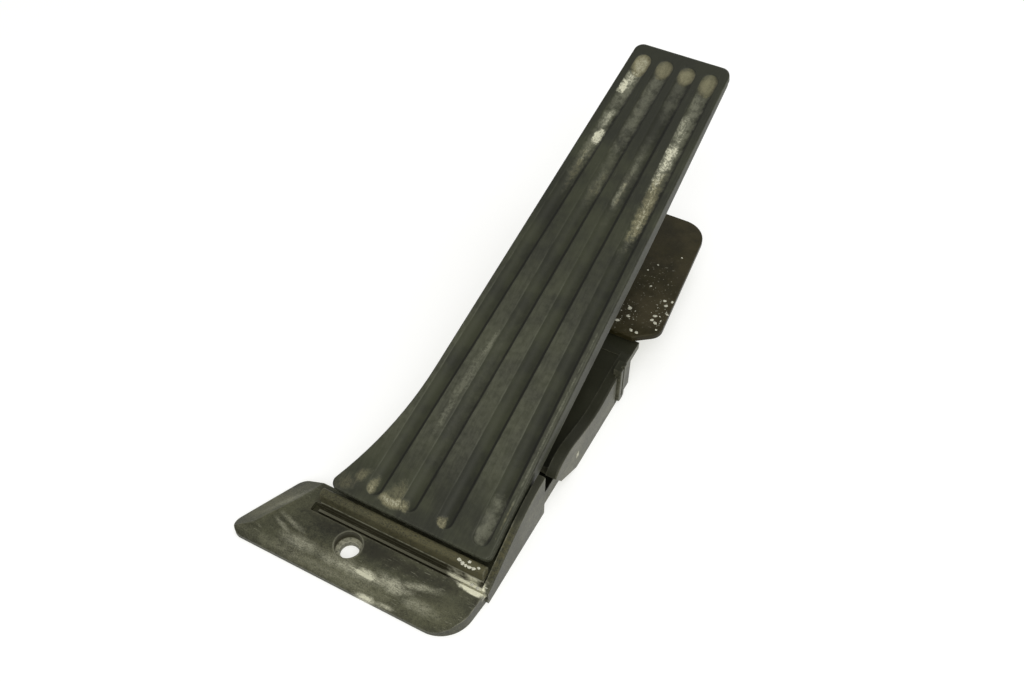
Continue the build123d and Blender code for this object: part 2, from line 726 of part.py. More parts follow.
def hinge_trough():
    """Hollow across the deck in which the knuckles and the pin clips turn"""
    overhang = PIN_CLIP + PIN_END + HINGE_TROUGH_GAP
    return crossbar(HINGE, EAR_LEFT - overhang, EAR_RIGHT + overhang, KNUCKLE_R + HINGE_TROUGH_GAP)


def base_frame():
    """Foot flap, hinge bar, deck, rails and housing in one moulding"""
    deck_floor = DECK_Z - DECK
    deck = block(BASE_LEFT, DECK_RIGHT, BAR_BACK_Y, HOUSING_FRONT_Y, 0, DECK_Z)
    under = block(
        BASE_LEFT + WALL, DECK_RIGHT - WALL, BAR_BACK_Y, HOUSING_FRONT_Y, -BEYOND, deck_floor
    )
    groove_left = BAR_LEFT - GROOVE_LEFT_MARGIN
    groove = block(groove_left, BEYOND, GROOVE_Y, BAR_FRONT_Y, GROOVE_Z, BEYOND)
    groove_middle = (GROOVE_Y + BAR_FRONT_Y) / 2
    groove_rib = block(
        BAR_LEFT,
        CHEEK_LEFT,
        groove_middle - GROOVE_RIB / 2,
        groove_middle + GROOVE_RIB / 2,
        GROOVE_Z - GROOVE_RIB,
        GROOVE_RIB_Z,
    )
    rail = side_rail(RAIL_LEFT, CHEEK_LEFT + RAIL_WALL / 2)
    rail_wall = curved_wall(RAIL_EDGE, RAIL_BACK_Y, rail_foot(), RAIL_WALL)
    ear_foot = block(
        EAR_LEFT,
        max(EAR_LEFT + EAR_LENGTH, BASE_LEFT + WALL),
        HINGE[0] - KNUCKLE_R,
        HINGE[0] + KNUCKLE_R,
        0,
        DECK_Z,
    )
    left_rail = side_rail(BASE_LEFT, BASE_LEFT + RAIL_WIDTH)
    frame = (foot_flap() - groove) + [deck, ear_foot, rail, rail_wall, left_rail]
    frame = frame - [under, rail_hollow(RAIL_LEFT, RAIL_RIGHT), hinge_trough()] - tongue_slots()
    frame = frame + [hinge_bar(), right_cheek(), groove_rib, housing(), snap_tongue()]
    frame = frame + hinge_ears() + deck_ribs()
    frame = frame + upright(STOP_X, STOP_Y, deck_floor, STOP_POST_Z, STOP_POST_R)
    frame = frame - housing_openings()
    return frame - [
        crossbar(HINGE, EAR_LEFT, EAR_RIGHT, HINGE_PIN_R + PRESSED),
        upright(0, 0, -BEYOND, BEYOND, FIXING_HOLE_R),
        upright(0, 0, FIXING_SEAT_Z, BEYOND, FIXING_RECESS_R),
        upright(STOP_X, STOP_Y, STOP_POST_Z - STOP_STEM, BEYOND, STOP_STEM_R + PRESSED),
    ]


def hinge_pin():
    """Steel pin through the ears and knuckles"""
    overhang = PIN_CLIP + PIN_END
    return crossbar(HINGE, EAR_LEFT - overhang, EAR_RIGHT + overhang, HINGE_PIN_R)


def pin_clips():
    """Retaining ring at each end of the hinge pin"""
    bore = HINGE_PIN_R + PRESSED
    left = ring(HINGE, EAR_LEFT - PIN_CLIP, EAR_LEFT, PIN_CLIP_R, bore)
    return left + ring(HINGE, EAR_RIGHT, EAR_RIGHT + PIN_CLIP, PIN_CLIP_R, bore)


def lid_outline():
    """Plan face of the lid with its side wing"""
    points = [
        (BAY_RIGHT, WING_FRONT_LEFT[1]),
        WING_FRONT_LEFT,
        WING_FRONT_RIGHT,
        WING_BACK_RIGHT,
        (BAY_RIGHT, WING_BACK_RIGHT[1]),
    ]
    face = make_face(Polyline(*points, close=True))
    face = fillet(face.vertices().sort_by(Axis.X)[-1], WING_FRONT_CORNER)
    back = face.vertices().group_by(Axis.Y)[-1].sort_by(Axis.X)
    return fillet(back[-1], WING_BACK_CORNER)


def chamber_lid():
    """Flat lid over the sensor chamber with its side wing"""
    lid = Pos(Z=LID_Z) * extrude(lid_outline(), LID)
    lid = fillet(lid.faces().sort_by(Axis.Z)[-1].edges(), EDGE_ROUND)
    return lid - [upright(x, y, 0, BEYOND, SCREW_R + PRESSED) for x, y in SCREW_SPOTS]


def lid_seal():
    """Flat gasket on the chamber's rim"""
    seal = block(BAY_RIGHT, HOUSING_RIGHT, CHAMBER_FRONT_Y, HOUSING_BACK_Y, HOUSING_TOP_Z, LID_Z)
    seal = seal - block(CHAMBER_LEFT, CHAMBER_RIGHT, CHAMBER_FRONT, HOUSING_BACK, 0, BEYOND)
    return seal - [upright(x, y, 0, BEYOND, SCREW_BOSS_R + PRESSED) for x, y in SCREW_SPOTS]


def lid_screws():
    """Three pan-head screws with a cross recess"""
    screws = []
    for x, y in SCREW_SPOTS:
        head = upright(x, y, LID_TOP_Z, LID_TOP_Z + SCREW_HEAD, SCREW_HEAD_R)
        head = fillet(head.edges().group_by(Axis.Z)[-1], EDGE_ROUND)
        reach = SCREW_HEAD_R - EDGE_ROUND
        slot_z = LID_TOP_Z + SCREW_HEAD / 2
        half = SCREW_SLOT / 2
        head = head - [
            block(x - reach, x + reach, y - half, y + half, slot_z, BEYOND),
            block(x - half, x + half, y - reach, y + reach, slot_z, BEYOND),
        ]
        screws.append(head + upright(x, y, LID_TOP_Z - SCREW_LENGTH, LID_TOP_Z, SCREW_R))
    return Compound(children=screws)


def arm_point(along, up):
    """Y and Z of a point on the lever at rest: along its arm and square above it"""
    return (
        PIVOT_Y + along * cos(ARM_ANGLE) + up * sin(ARM_ANGLE),
        PIVOT_Z + along * sin(ARM_ANGLE) - up * cos(ARM_ANGLE),
    )


def sensor_lever():
    """Lever with its hub, forked arm, spring pegs and rest lug"""
    arm_end = ARM_LENGTH - FORK_REACH
    arm = [
        arm_point(0, -ARM_ROOT_HALF_HEIGHT),
        arm_point(arm_end, -ARM_HALF_HEIGHT),
        arm_point(arm_end, ARM_HALF_HEIGHT),
        arm_point(PEG_ALONG + LUG_R + PEG_UP, ARM_HALF_HEIGHT),
        arm_point(PEG_ALONG + LUG_R, PEG_UP + LUG_R),
        arm_point(PEG_ALONG - LUG_R, PEG_UP + LUG_R),
        arm_point(0, ARM_ROOT_HALF_HEIGHT),
    ]
    cheek_start = arm_end - FORK_OVERLAP
    cheek = [
        arm_point(cheek_start, -FORK_R),
        arm_point(ARM_LENGTH, -FORK_R),
        arm_point(ARM_LENGTH, FORK_R),
        arm_point(cheek_start, FORK_R),
    ]
    lug = block(
        BAY_MIDDLE - REST_LUG_WIDTH / 2,
        BAY_MIDDLE + REST_LUG_WIDTH / 2,
        PIVOT_Y,
        BUFFER_Y + BUFFER_SIZE,
        PIVOT_Z - REST_LUG_DROP,
        PIVOT_Z + REST_LUG_RISE,
    )
    arm_left = BAY_MIDDLE - ARM_HALF
    arm_right = BAY_MIDDLE + ARM_HALF
    lever = crossbar(PIVOT, HUB_LEFT, HUB_RIGHT, HUB_R) + [side_prism(arm, arm_left, arm_right), lug]
    for x in (BAY_MIDDLE - FORK_HALF, arm_right):
        lever = lever + side_prism(cheek, x, x + FORK_CHEEK)
        lever = lever + crossbar(ROLLER_REST, x, x + FORK_CHEEK, FORK_R)
    peg = arm_point(PEG_ALONG, PEG_UP)
    lever = lever + crossbar(peg, arm_left - PEG_LENGTH, arm_right + PEG_LENGTH, PEG_R)
    return lever - [
        crossbar(PIVOT, HUB_LEFT, HUB_RIGHT, SHAFT_R + PRESSED),
        crossbar(ROLLER_REST, -BEYOND, BEYOND, ROLLER_PIN_R + PRESSED),
    ]


def return_spring():
    """Left torsion spring round the hub: one leg on the bay floor, one under the lever's peg"""
    turns = SPRING_TURNS + ARM_ANGLE / radians(360)
    coil = Helix(SPRING_PITCH, SPRING_PITCH * turns, SPRING_R)
    floor_leg = Line(coil @ 0 - (coil % 0) * SPRING_FLOOR_LEG, coil @ 0)
    lever_leg = Line(coil @ 1, coil @ 1 + (coil % 1) * SPRING_LEG)
    path = Wire([floor_leg.edge(), coil.edge(), lever_leg.edge()])
    section = Plane(origin=path @ 0, z_dir=path % 0) * Circle(SPRING_WIRE / 2)
    wire = sweep(section, path=path, transition=Transition.ROUND)
    end = BAY_MIDDLE - ARM_HALF - SIDE_GAP - SPRING_WIRE
    start = Plane(
        origin=(end - SPRING_PITCH * turns, PIVOT_Y, PIVOT_Z), x_dir=(0, 0, -1), z_dir=(1, 0, 0)
    )
    return start * wire


def shaft_bush(wall_left, wall_right, flange):
    """Plain bush pressed into a wall, with a flange that faces the bay"""
    bore = SHAFT_R + RUNNING
    sleeve = ring(PIVOT, wall_left, wall_right, SHAFT_R + BUSH_WALL, bore)
    return sleeve + ring(PIVOT, flange, flange + BUSH_FLANGE, BUSH_FLANGE_R, bore)


def friction_washers():
    """One washer between each bush and the lever's hub"""
    bore = SHAFT_R + RUNNING
    left = BAY_LEFT + BUSH_FLANGE
    right = BAY_RIGHT - BUSH_FLANGE - WASHER
    return ring(PIVOT, left, left + WASHER, WASHER_R, bore) + ring(
        PIVOT, right, right + WASHER, WASHER_R, bore
    )


def magnet_carrier():
    """Cup on the end of the lever's shaft"""
    cup = crossbar(PIVOT, CARRIER_X, MAGNET_X, CARRIER_R)
    return cup - [
        crossbar(PIVOT, CARRIER_X, SHAFT_END, SHAFT_R + PRESSED),
        crossbar(PIVOT, MAGNET_X - MAGNET, MAGNET_X, MAGNET_R + PRESSED),
    ]


def track_roller():
    """Wheel between the fork's cheeks"""
    half = ROLLER_WIDTH / 2
    wheel = crossbar(ROLLER_REST, BAY_MIDDLE - half, BAY_MIDDLE + half, ROLLER_R)
    wheel = chamfer(wheel.edges().filter_by(GeomType.CIRCLE), EDGE_ROUND / 2)
    return wheel - crossbar(ROLLER_REST, -BEYOND, BEYOND, ROLLER_PIN_R + RUNNING)


def roller_pin():
    """Pin pressed into the fork"""
    half = FORK_HALF + ROLLER_PIN_END
    return crossbar(ROLLER_REST, BAY_MIDDLE - half, BAY_MIDDLE + half, ROLLER_PIN_R)


def terminal_places():
    """Y and Z of each terminal"""
    places = []
    for column in range(TERMINAL_COLUMNS):
        for row in range(TERMINAL_ROWS):
            places.append(
                (
                    SOCKET_Y + (column - (TERMINAL_COLUMNS - 1) / 2) * TERMINAL_PITCH,
                    SOCKET_Z + (row - (TERMINAL_ROWS - 1) / 2) * TERMINAL_PITCH,
                )
            )
    return places


def terminal_blocks(x0, x1, size):
    """Square bars of one size along X at every terminal"""
    half = size / 2
    return [block(x0, x1, y - half, y + half, z - half, z + half) for y, z in terminal_places()]


def connector_terminals():
    """Square pins through the board and the socket"""
    pins = terminal_blocks(BOARD_X - TERMINAL_INSIDE, SOCKET_MOUTH - TERMINAL_TIP_GAP, TERMINAL)
    return Compound(children=pins)


def connector_socket():
    """Socket cup through the wall's window, with a flange outside"""
    cup = socket_block(CHAMBER_RIGHT - SOCKET_FLOOR, SOCKET_MOUTH, 0)
    cup = cup + socket_block(HOUSING_RIGHT, HOUSING_RIGHT + SOCKET_FLANGE, SOCKET_FLANGE)
    cup = cup - socket_block(CHAMBER_RIGHT, BEYOND, -SOCKET_WALL)
    return cup - terminal_blocks(0, BEYOND, TERMINAL + 2 * PRESSED)


def circuit_board():
    """Upright board on the chamber floor"""
    board = block(
        BOARD_X,
        BOARD_X + BOARD,
        BOARD_FRONT_Y,
        HOUSING_BACK,
        HOUSING_FLOOR,
        HOUSING_FLOOR + BOARD_HEIGHT,
    )
    return board - terminal_blocks(0, BEYOND, TERMINAL + 2 * PRESSED)


def sensor_chips():
    """Two chips on the board that face the magnet"""
    chips = []
    for side in (-1, 1):
        y = PIVOT_Y + side * CHIP_PITCH / 2
        chips.append(
            block(
                BOARD_X - CHIP,
                BOARD_X,
                y - CHIP_WIDTH / 2,
                y + CHIP_WIDTH / 2,
                PIVOT_Z - CHIP_HEIGHT / 2,
                PIVOT_Z + CHIP_HEIGHT / 2,
            )
        )
    return Compound(children=chips)


def stop_bumper():
    """Domed rubber stop on a post of the deck"""
    bumper = upright(STOP_X, STOP_Y, STOP_POST_Z, STOP_CENTRE_Z, STOP_R)
    bumper = bumper + Pos(STOP_X, STOP_Y, STOP_CENTRE_Z) * Sphere(STOP_R)
    return bumper + upright(STOP_X, STOP_Y, STOP_POST_Z - STOP_STEM, STOP_POST_Z, STOP_STEM_R)


def rest_buffer():
    """Rubber block on the bay floor under the lever's rest lug"""
    half = REST_LUG_WIDTH / 2
    return block(
        BAY_MIDDLE - half, BAY_MIDDLE + half, BUFFER_Y, BUFFER_Y + BUFFER_SIZE, HOUSING_FLOOR, BUFFER_TOP_Z
    )


left_spring = return_spring()
nodes = {
    "base_frame": base_frame(),
    "hinge_pin": hinge_pin(),
    "pin_clips": pin_clips(),
    "pedal_pad": pedal_pad(),
    "roller_track": roller_track(),
    "chamber_lid": chamber_lid(),
    "lid_seal": lid_seal(),
    "lid_screws": lid_screws(),
    "sensor_lever": sensor_lever(),
    "lever_shaft": crossbar(PIVOT, BASE_LEFT, SHAFT_END, SHAFT_R),
    "outer_bush": shaft_bush(BASE_LEFT, BAY_LEFT, BAY_LEFT),
    "inner_bush": shaft_bush(BAY_RIGHT, CHAMBER_LEFT, BAY_RIGHT - BUSH_FLANGE),
    "friction_washers": friction_washers(),
    "shaft_seal": ring(
        PIVOT, CHAMBER_LEFT, CHAMBER_LEFT + SHAFT_SEAL, SHAFT_SEAL_R, SHAFT_R + RUNNING
    ),
    "magnet_carrier": magnet_carrier(),
    "sensor_magnet": crossbar(PIVOT, MAGNET_X - MAGNET, MAGNET_X, MAGNET_R),
    "left_spring": left_spring,
    "right_spring": mirror(left_spring, about=Plane.YZ.offset(BAY_MIDDLE)),
    "track_roller": track_roller(),
    "roller_pin": roller_pin(),
    "circuit_board": circuit_board(),
    "sensor_chips": sensor_chips(),
    "connector_socket": connector_socket(),
    "connector_terminals": connector_terminals(),
    "stop_bumper": stop_bumper(),
    "rest_buffer": rest_buffer(),
}

for name, shape in nodes.items():
    export_step(shape, os.path.join("parts", name + ".step"))
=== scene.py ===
from math import cos, pi, radians, sin
from random import Random

import bmesh
import bpy
from bpy.props import FloatProperty, FloatVectorProperty, PointerProperty
from bpy.types import NodeSocket, Operator, Panel, PropertyGroup
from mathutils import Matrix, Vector, noise


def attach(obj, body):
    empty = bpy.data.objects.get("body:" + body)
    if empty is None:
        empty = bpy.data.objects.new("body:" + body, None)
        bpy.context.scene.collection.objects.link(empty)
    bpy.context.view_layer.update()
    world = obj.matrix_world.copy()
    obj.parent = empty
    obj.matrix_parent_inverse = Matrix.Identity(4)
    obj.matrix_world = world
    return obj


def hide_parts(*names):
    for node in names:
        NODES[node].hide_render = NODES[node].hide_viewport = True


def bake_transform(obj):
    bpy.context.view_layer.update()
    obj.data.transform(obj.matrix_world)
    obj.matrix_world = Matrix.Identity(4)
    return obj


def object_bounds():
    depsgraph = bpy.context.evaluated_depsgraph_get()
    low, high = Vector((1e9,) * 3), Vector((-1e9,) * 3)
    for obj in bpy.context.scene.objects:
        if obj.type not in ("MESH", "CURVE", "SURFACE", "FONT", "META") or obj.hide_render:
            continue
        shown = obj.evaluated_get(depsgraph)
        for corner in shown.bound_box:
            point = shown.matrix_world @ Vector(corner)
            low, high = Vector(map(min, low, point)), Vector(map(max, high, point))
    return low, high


bl_info = {
    "name": "Accelerator pedal",
    "version": (1, 0, 0),
    "blender": (4, 5, 0),
    "location": "3D View > Sidebar > Pedal",
    "description": "Finishes a floor-hinged accelerator pedal in worn and dusty plastic",
    "category": "Object",
}

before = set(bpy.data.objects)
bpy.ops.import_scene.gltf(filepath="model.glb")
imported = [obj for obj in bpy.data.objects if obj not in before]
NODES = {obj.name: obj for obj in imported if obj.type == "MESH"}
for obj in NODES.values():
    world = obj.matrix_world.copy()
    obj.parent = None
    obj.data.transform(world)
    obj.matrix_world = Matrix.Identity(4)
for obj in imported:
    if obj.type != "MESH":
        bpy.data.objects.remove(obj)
CAD_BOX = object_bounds()

# Metres in a millimetre, and the way up
MM = 0.001
UP = (0, 0, 1)

# Pad, in millimetres and degrees: its heel edge, its slope and its four flutes
PAD_HEEL = (0.0, 15.5, 18.0)
PAD_TILT = 21.2
FLUTE_RIGHT = 51.6
FLUTE_HEEL_PITCH = 17.2
FLUTE_FAN = 6.0 / 233.6
FLUTE_HEEL_END = 8.2

# Height of the lid's top face, in millimetres
LID_TOP = 24.0

# Springs: node, and X where the coil leaves its floor leg and where it meets its lever leg
SPRING_TWIST = (("left_spring", 3.2, 8.2), ("right_spring", 27.8, 22.8))

# Dried drops: stretch in plan, depth and waves of their uneven outline, rise over their radius
DROP_STRETCH = (0.8, 1.25)
DROP_SWELL = 0.35
DROP_WAVES = 1.6
DROP_RISE = 0.22

# Dust on the parts inside
INNER_DUST = (0.13, 0.12, 0.09)

# Floor and room: the floor's white glow goes from one level to the other over its reach
FLOOR_HALF = 6.0
FLOOR_DROP = 0.0002
GLOW_REACH = (0.7, 2.6)
GLOW_LEVEL = (1.0, 1.8)
ROOM_COLOUR = (1.0, 1.0, 0.96)

# Lamps: name, place, size and the setting of the power
LAMP_COLOUR = (1.0, 1.0, 0.9)
LAMPS = (
    ("front_light", (0.7, -1.1, 1.7), 1.6, "key"),
    ("top_light", (0.15, 0.5, 1.9), 1.4, "top"),
    ("side_light", (1.7, -0.2, 0.7), 1.2, "side"),
)

# Camera, with its angles in degrees and its sensor in millimetres
CAMERA_PLACE = (0.17615, -0.18065, 0.41909)
CAMERA_TILT = 40.86
CAMERA_TURN = 28.46
CAMERA_SENSOR = 36.0
CAMERA_NEAR = 0.01

# Marks between which most values of a noise lie
NOISE_SPAN = (0.36, 0.64)

# Reach of a patch of dirt in height, more than the whole part
PATCH_HEIGHT = 1000

# Heights on the pad, in millimetres from its top face
FLUTE_FLOOR = (-0.15, -0.8)
FLUTE_WALL = (-0.04, -0.3)
PAD_SKIN = (-2.4, -1.9)
PAD_LAND = (-0.4, -0.1)
PAD_LIP = (-0.3, -0.03)
# Depth of the band on the flutes' right walls that gets painted shade
PAD_WALL_SHADE = (-1.0, -0.1)

# Stretches along the pad, in millimetres from its heel edge
HEEL_WEAR = (210.0, 90.0)
TRODDEN_TOE = (170.0, 70.0)
TRODDEN_HEEL = (14.0, 42.0)
TOE_SHADE = (185.0, 215.0)
BROWN_TOE = (205.0, 165.0)
BROWN_HEEL = (60.0, 120.0)
HEEL_DUST = (30.0, 18.0)

# Bands of the base, in millimetres, each named for its axis
FOOT_Y = (22.0, 20.0)
FOOT_Z = (12.0, 10.0)
CREAM_Y = (4.6, 12.6)
CREAM_Z = (4.8, 9.4)
FLECK_Z = (8.0, 11.0)
GROOVE_X = (60.0, 58.0)
GROOVE_Y = (4.4, 16.0)
BAR_X = (-24.0, 60.0)
BAR_Y = (6.2, 15.4)
BAR_Z = (4.0, 5.0)
BAR_BROWN_X = (-16.0, 26.0)
BAR_BROWN_Z = (9.6, 10.8)
BAR_FRONT_Z = (9.8, 8.8)
BAR_LEDGE_Z = (9.2, 10.2)
# Height of the groove's rib, where a painted highlight runs
BAR_RIB_HIGHLIGHT_Z = (6.6, 7.1)
CHEEK_X = (59.0, 60.0)
CHEEK_Y = (12.0, 32.0)
FLANK_X = (40.0, 46.0)
FLANK_Y = (36.0, 152.0)
RAIL_HOLLOW_SHADE_Z = (16.0, 13.0)
LOW_END_X = (60.0, 63.0)
LOW_END_Y = (66.0, 96.0)

# Fixing hole: radius of its recess and of its rim, heights of its seat, wall and rim
RECESS_RADIUS = (6.3, 6.0)
RIM_RADIUS = (5.9, 6.7)
SEAT_Z = (4.2, 3.2)
WALL_Z = (3.2, 4.4)
RIM_Z = (6.0, 6.8)


def joined(tree, value, socket):
    """Feeds a socket from another one, or sets it to a plain value"""
    if isinstance(value, NodeSocket):
        tree.links.new(value, socket)
    else:
        socket.default_value = value


def placed(tree, kind, inputs=None, **settings):
    """Adds a node with its settings and its inputs"""
    node = tree.nodes.new(kind)
    for key, value in settings.items():
        setattr(node, key, value)
    for key, value in (inputs or {}).items():
        joined(tree, value, node.inputs[key])
    return node


def worked(tree, operation, *values):
    """One step of arithmetic"""
    return placed(tree, "ShaderNodeMath", dict(enumerate(values)), operation=operation).outputs[0]


def product(tree, first, *others):
    """All values multiplied together"""
    for other in others:
        first = worked(tree, "MULTIPLY", first, other)
    return first


def summed(tree, first, share, second, other):
    """Two values added up, each times its share"""
    return worked(tree, "ADD", product(tree, first, share), product(tree, second, other))


def strongest(tree, masks):
    """The highest of several masks"""
    top = masks[0]
    for mask in masks[1:]:
        top = worked(tree, "MAXIMUM", top, mask)
    return top


def moved(tree, operation, *vectors):
    """One step of vector arithmetic"""
    node = placed(tree, "ShaderNodeVectorMath", dict(enumerate(vectors)), operation=operation)
    return node.outputs[0]


def aligned(tree, first, second):
    """Dot product of two vectors"""
    node = placed(tree, "ShaderNodeVectorMath", {0: first, 1: second}, operation="DOT_PRODUCT")
    return node.outputs["Value"]


def length(tree, vector):
    """Length of a vector"""
    node = placed(tree, "ShaderNodeVectorMath", {0: vector}, operation="LENGTH")
    return node.outputs["Value"]


def ramped(tree, value, low, high, start=0.0, end=1.0):
    """Smooth step of a value from its first mark to its second"""
    inputs = {"Value": value, "From Min": low, "From Max": high, "To Min": start, "To Max": end}
    node = placed(tree, "ShaderNodeMapRange", inputs, interpolation_type="SMOOTHSTEP")
    return node.outputs["Result"]


def between(tree, value, low, high, soft):
    """Mask of the values that lie between two marks"""
    rise = ramped(tree, value, low - soft, low + soft)
    return product(tree, rise, ramped(tree, value, high - soft, high + soft, 1.0, 0.0))


def blended(tree, share, under, over):
    """Mix of two colours"""
    return placed(tree, "ShaderNodeMix", {0: share, 6: under, 7: over}, data_type="RGBA").outputs[2]


def cloudy(tree, place, scale, detail, rough):
    """Soft noise from 0 to 1, with its scale in waves per millimetre"""
    inputs = {"Vector": place, "Scale": scale, "Detail": detail, "Roughness": rough}
    return placed(tree, "ShaderNodeTexNoise", inputs).outputs[0]


def ragged_edge(tree, place, scale, detail, rough, amount):
    """Noise around 0 that breaks up the edge of a patch"""
    return product(tree, worked(tree, "SUBTRACT", cloudy(tree, place, scale, detail, rough), 0.5), amount)


def toned(colour, level):
    """A colour made darker or lighter"""
    return [level * c for c in colour]


def rgba(colour, level=1.0):
    """A colour with full cover, made darker or lighter"""
    return (*toned(colour, level), 1.0)


def new_group(name, inputs, outputs):
    """Empty shader group with its sockets and its two end nodes"""
    tree = bpy.data.node_groups.new(name, "ShaderNodeTree")
    for title, kind, start in inputs:
        socket = tree.interface.new_socket(title, in_out="INPUT", socket_type=kind)
        socket.default_value = start
    for title, kind in outputs:
        tree.interface.new_socket(title, in_out="OUTPUT", socket_type=kind)
    return tree, tree.nodes.new("NodeGroupInput").outputs, tree.nodes.new("NodeGroupOutput").inputs


FLOAT = "NodeSocketFloat"
VECTOR = "NodeSocketVector"


def grain_group():
    """Spark-eroded skin of moulded plastic, with cloudy changes of tone"""
    inputs = [("Place", VECTOR, (0, 0, 0)), ("Grain", FLOAT, 0.5), ("Cloud", FLOAT, 14.0)]
    tree, given, out = new_group("moulded_grain", inputs, [("Height", FLOAT), ("Tone", FLOAT)])
    fine = cloudy(tree, given["Place"], worked(tree, "DIVIDE", 1.0, given["Grain"]), 3.0, 0.6)
    wide = cloudy(tree, given["Place"], worked(tree, "DIVIDE", 1.0, given["Cloud"]), 4.0, 0.62)
    joined(tree, fine, out["Height"])
    joined(tree, wide, out["Tone"])
    return tree


def edge_group():
    """Rubbed outer edges: a point near an edge sees little depth inside the solid"""
    inputs = [("Place", VECTOR, (0, 0, 0)), ("Reach", FLOAT, 0.8), ("Amount", FLOAT, 0.5)]
    tree, given, out = new_group("rubbed_edges", inputs, [("Mask", FLOAT)])
    reach = worked(tree, "MULTIPLY", given["Reach"], MM)
    inner = placed(
        tree, "ShaderNodeAmbientOcclusion", {"Distance": reach}, samples=6, inside=True, only_local=True
    )
    near = ramped(tree, inner.outputs["AO"], 0.95, 0.45)
    broken = ramped(tree, cloudy(tree, given["Place"], 0.35, 4.0, 0.65), 0.35, 0.7, 0.25, 1.0)
    joined(tree, product(tree, near, broken, given["Amount"]), out["Mask"])
    return tree


def settled_group():
    """Dust that settles on faces that look up and gathers in corners"""
    inputs = [("Place", VECTOR, (0, 0, 0)), ("Film", FLOAT, 0.1), ("Corner", FLOAT, 0.5)]
    tree, given, out = new_group("settled_dust", inputs, [("Mask", FLOAT)])
    normal = placed(tree, "ShaderNodeTexCoord").outputs["Normal"]
    upward = ramped(tree, aligned(tree, normal, UP), 0.2, 0.9)
    film = ramped(tree, cloudy(tree, given["Place"], 0.11, 6.0, 0.68), 0.42, 0.75)
    film = product(tree, film, given["Film"])
    outer = placed(tree, "ShaderNodeAmbientOcclusion", {"Distance": 5 * MM}, samples=6, only_local=True)
    hollow = ramped(tree, outer.outputs["AO"], 0.75, 0.25)
    clumps = ramped(tree, cloudy(tree, given["Place"], 0.5, 4.0, 0.7), 0.35, 0.7)
    hollow = product(tree, hollow, clumps, given["Corner"])
    joined(tree, product(tree, upward, worked(tree, "MAXIMUM", film, hollow)), out["Mask"])
    return tree


def patch_group():
    """Soft-edged patch of dirt: an ellipse in plan whose edge a ragged value breaks up"""
    inputs = [
        ("Place", VECTOR, (0, 0, 0)),
        ("Centre", VECTOR, (0, 0, 0)),
        ("Reach", VECTOR, (1, 1, 1)),
        ("Turn", FLOAT, 0.0),
        ("Ragged", FLOAT, 0.0),
        ("Core", FLOAT, 0.15),
        ("Strength", FLOAT, 1.0),
    ]
    tree, given, out = new_group("dirt_patch", inputs, [("Mask", FLOAT)])
    offset = moved(tree, "SUBTRACT", given["Place"], given["Centre"])
    inputs = {"Vector": offset, "Angle": given["Turn"]}
    turned = placed(tree, "ShaderNodeVectorRotate", inputs, rotation_type="Z_AXIS").outputs[0]
    spread = moved(tree, "DIVIDE", turned, given["Reach"])
    far = worked(tree, "ADD", length(tree, spread), given["Ragged"])
    joined(tree, product(tree, ramped(tree, far, 1.0, given["Core"]), given["Strength"]), out["Mask"])
    return tree


def pad_place_group():
    """Place on the sloping pad: across, along from the heel edge and height above the top face"""
    tree, given, out = new_group("place_on_pad", [("Place", VECTOR, (0, 0, 0))], [("Pad", VECTOR)])
    offset = moved(tree, "SUBTRACT", given["Place"], PAD_HEEL)
    inputs = {"Vector": offset, "Angle": radians(-PAD_TILT)}
    level = placed(tree, "ShaderNodeVectorRotate", inputs, rotation_type="X_AXIS").outputs[0]
    joined(tree, level, out["Pad"])
    return tree


def scratch_group():
    """Fine scratches that run mostly one way"""
    inputs = [("Place", VECTOR, (0, 0, 0)), ("Stretch", VECTOR, (1, 0.05, 1)), ("Amount", FLOAT, 0.5)]
    tree, given, out = new_group("fine_scratches", inputs, [("Mask", FLOAT)])
    long = moved(tree, "MULTIPLY", given["Place"], given["Stretch"])
    lines = cloudy(tree, long, 1.6, 3.0, 0.7)
    patches = ramped(tree, cloudy(tree, given["Place"], 0.05, 3.0, 0.6), 0.45, 0.65)
    joined(tree, product(tree, ramped(tree, lines, 0.58, 0.72), patches, given["Amount"]), out["Mask"])
    return tree


# Shared node groups that have been built
GROUPS = {}


class Coat:
    """A material in the making: its node tree, its shader and the place on the part in millimetres"""

    def __init__(self, name, roughness, specular=0.5):
        self.material = bpy.data.materials.new(name)
        self.material.use_nodes = True
        self.tree = self.material.node_tree
        self.shader = self.tree.nodes["Principled BSDF"]
        self.feed("Roughness", roughness)
        self.feed("Specular IOR Level", specular)
        self.coords = placed(self.tree, "ShaderNodeTexCoord").outputs
        inputs = {0: self.coords["Object"], "Scale": 1 / MM}
        self.place = placed(self.tree, "ShaderNodeVectorMath", inputs, operation="SCALE").outputs[0]

    def use(self, maker, **inputs):
        """Outputs of a shared group, which is built at its first use"""
        if maker not in GROUPS:
            GROUPS[maker] = maker()
        return placed(self.tree, "ShaderNodeGroup", inputs, node_tree=GROUPS[maker]).outputs

    def feed(self, socket, value):
        """Feeds or sets a socket of the shader"""
        joined(self.tree, value, self.shader.inputs[socket])

    def bump(self, height, depth):
        """Relief of a depth in millimetres"""
        inputs = {"Height": height, "Distance": depth * MM}
        self.feed("Normal", placed(self.tree, "ShaderNodeBump", inputs).outputs[0])

    def patches(self, place, marks, ragged, core=0.15):
        """All patches of a list of (x, y, reach across, reach along, turn, strength) as one mask"""
        masks = []
        for x, y, wide, long, turn, strength in marks:
            form = {"Centre": (x, y, 0), "Reach": (wide, long, PATCH_HEIGHT), "Turn": radians(turn)}
            patch = self.use(patch_group, Place=place, Ragged=ragged, Core=core, Strength=strength, **form)
            masks.append(patch["Mask"])
        return strongest(self.tree, masks)


def linked(name, data):
    """New object in the scene"""
    piece = bpy.data.objects.new(name, data)
    bpy.context.scene.collection.objects.link(piece)
    return piece


def assign(coat, *names):
    """Gives CAD nodes a finished material"""
    for name in names:
        slots = NODES[name].data.materials
        slots.clear()
        slots.append(coat.material)


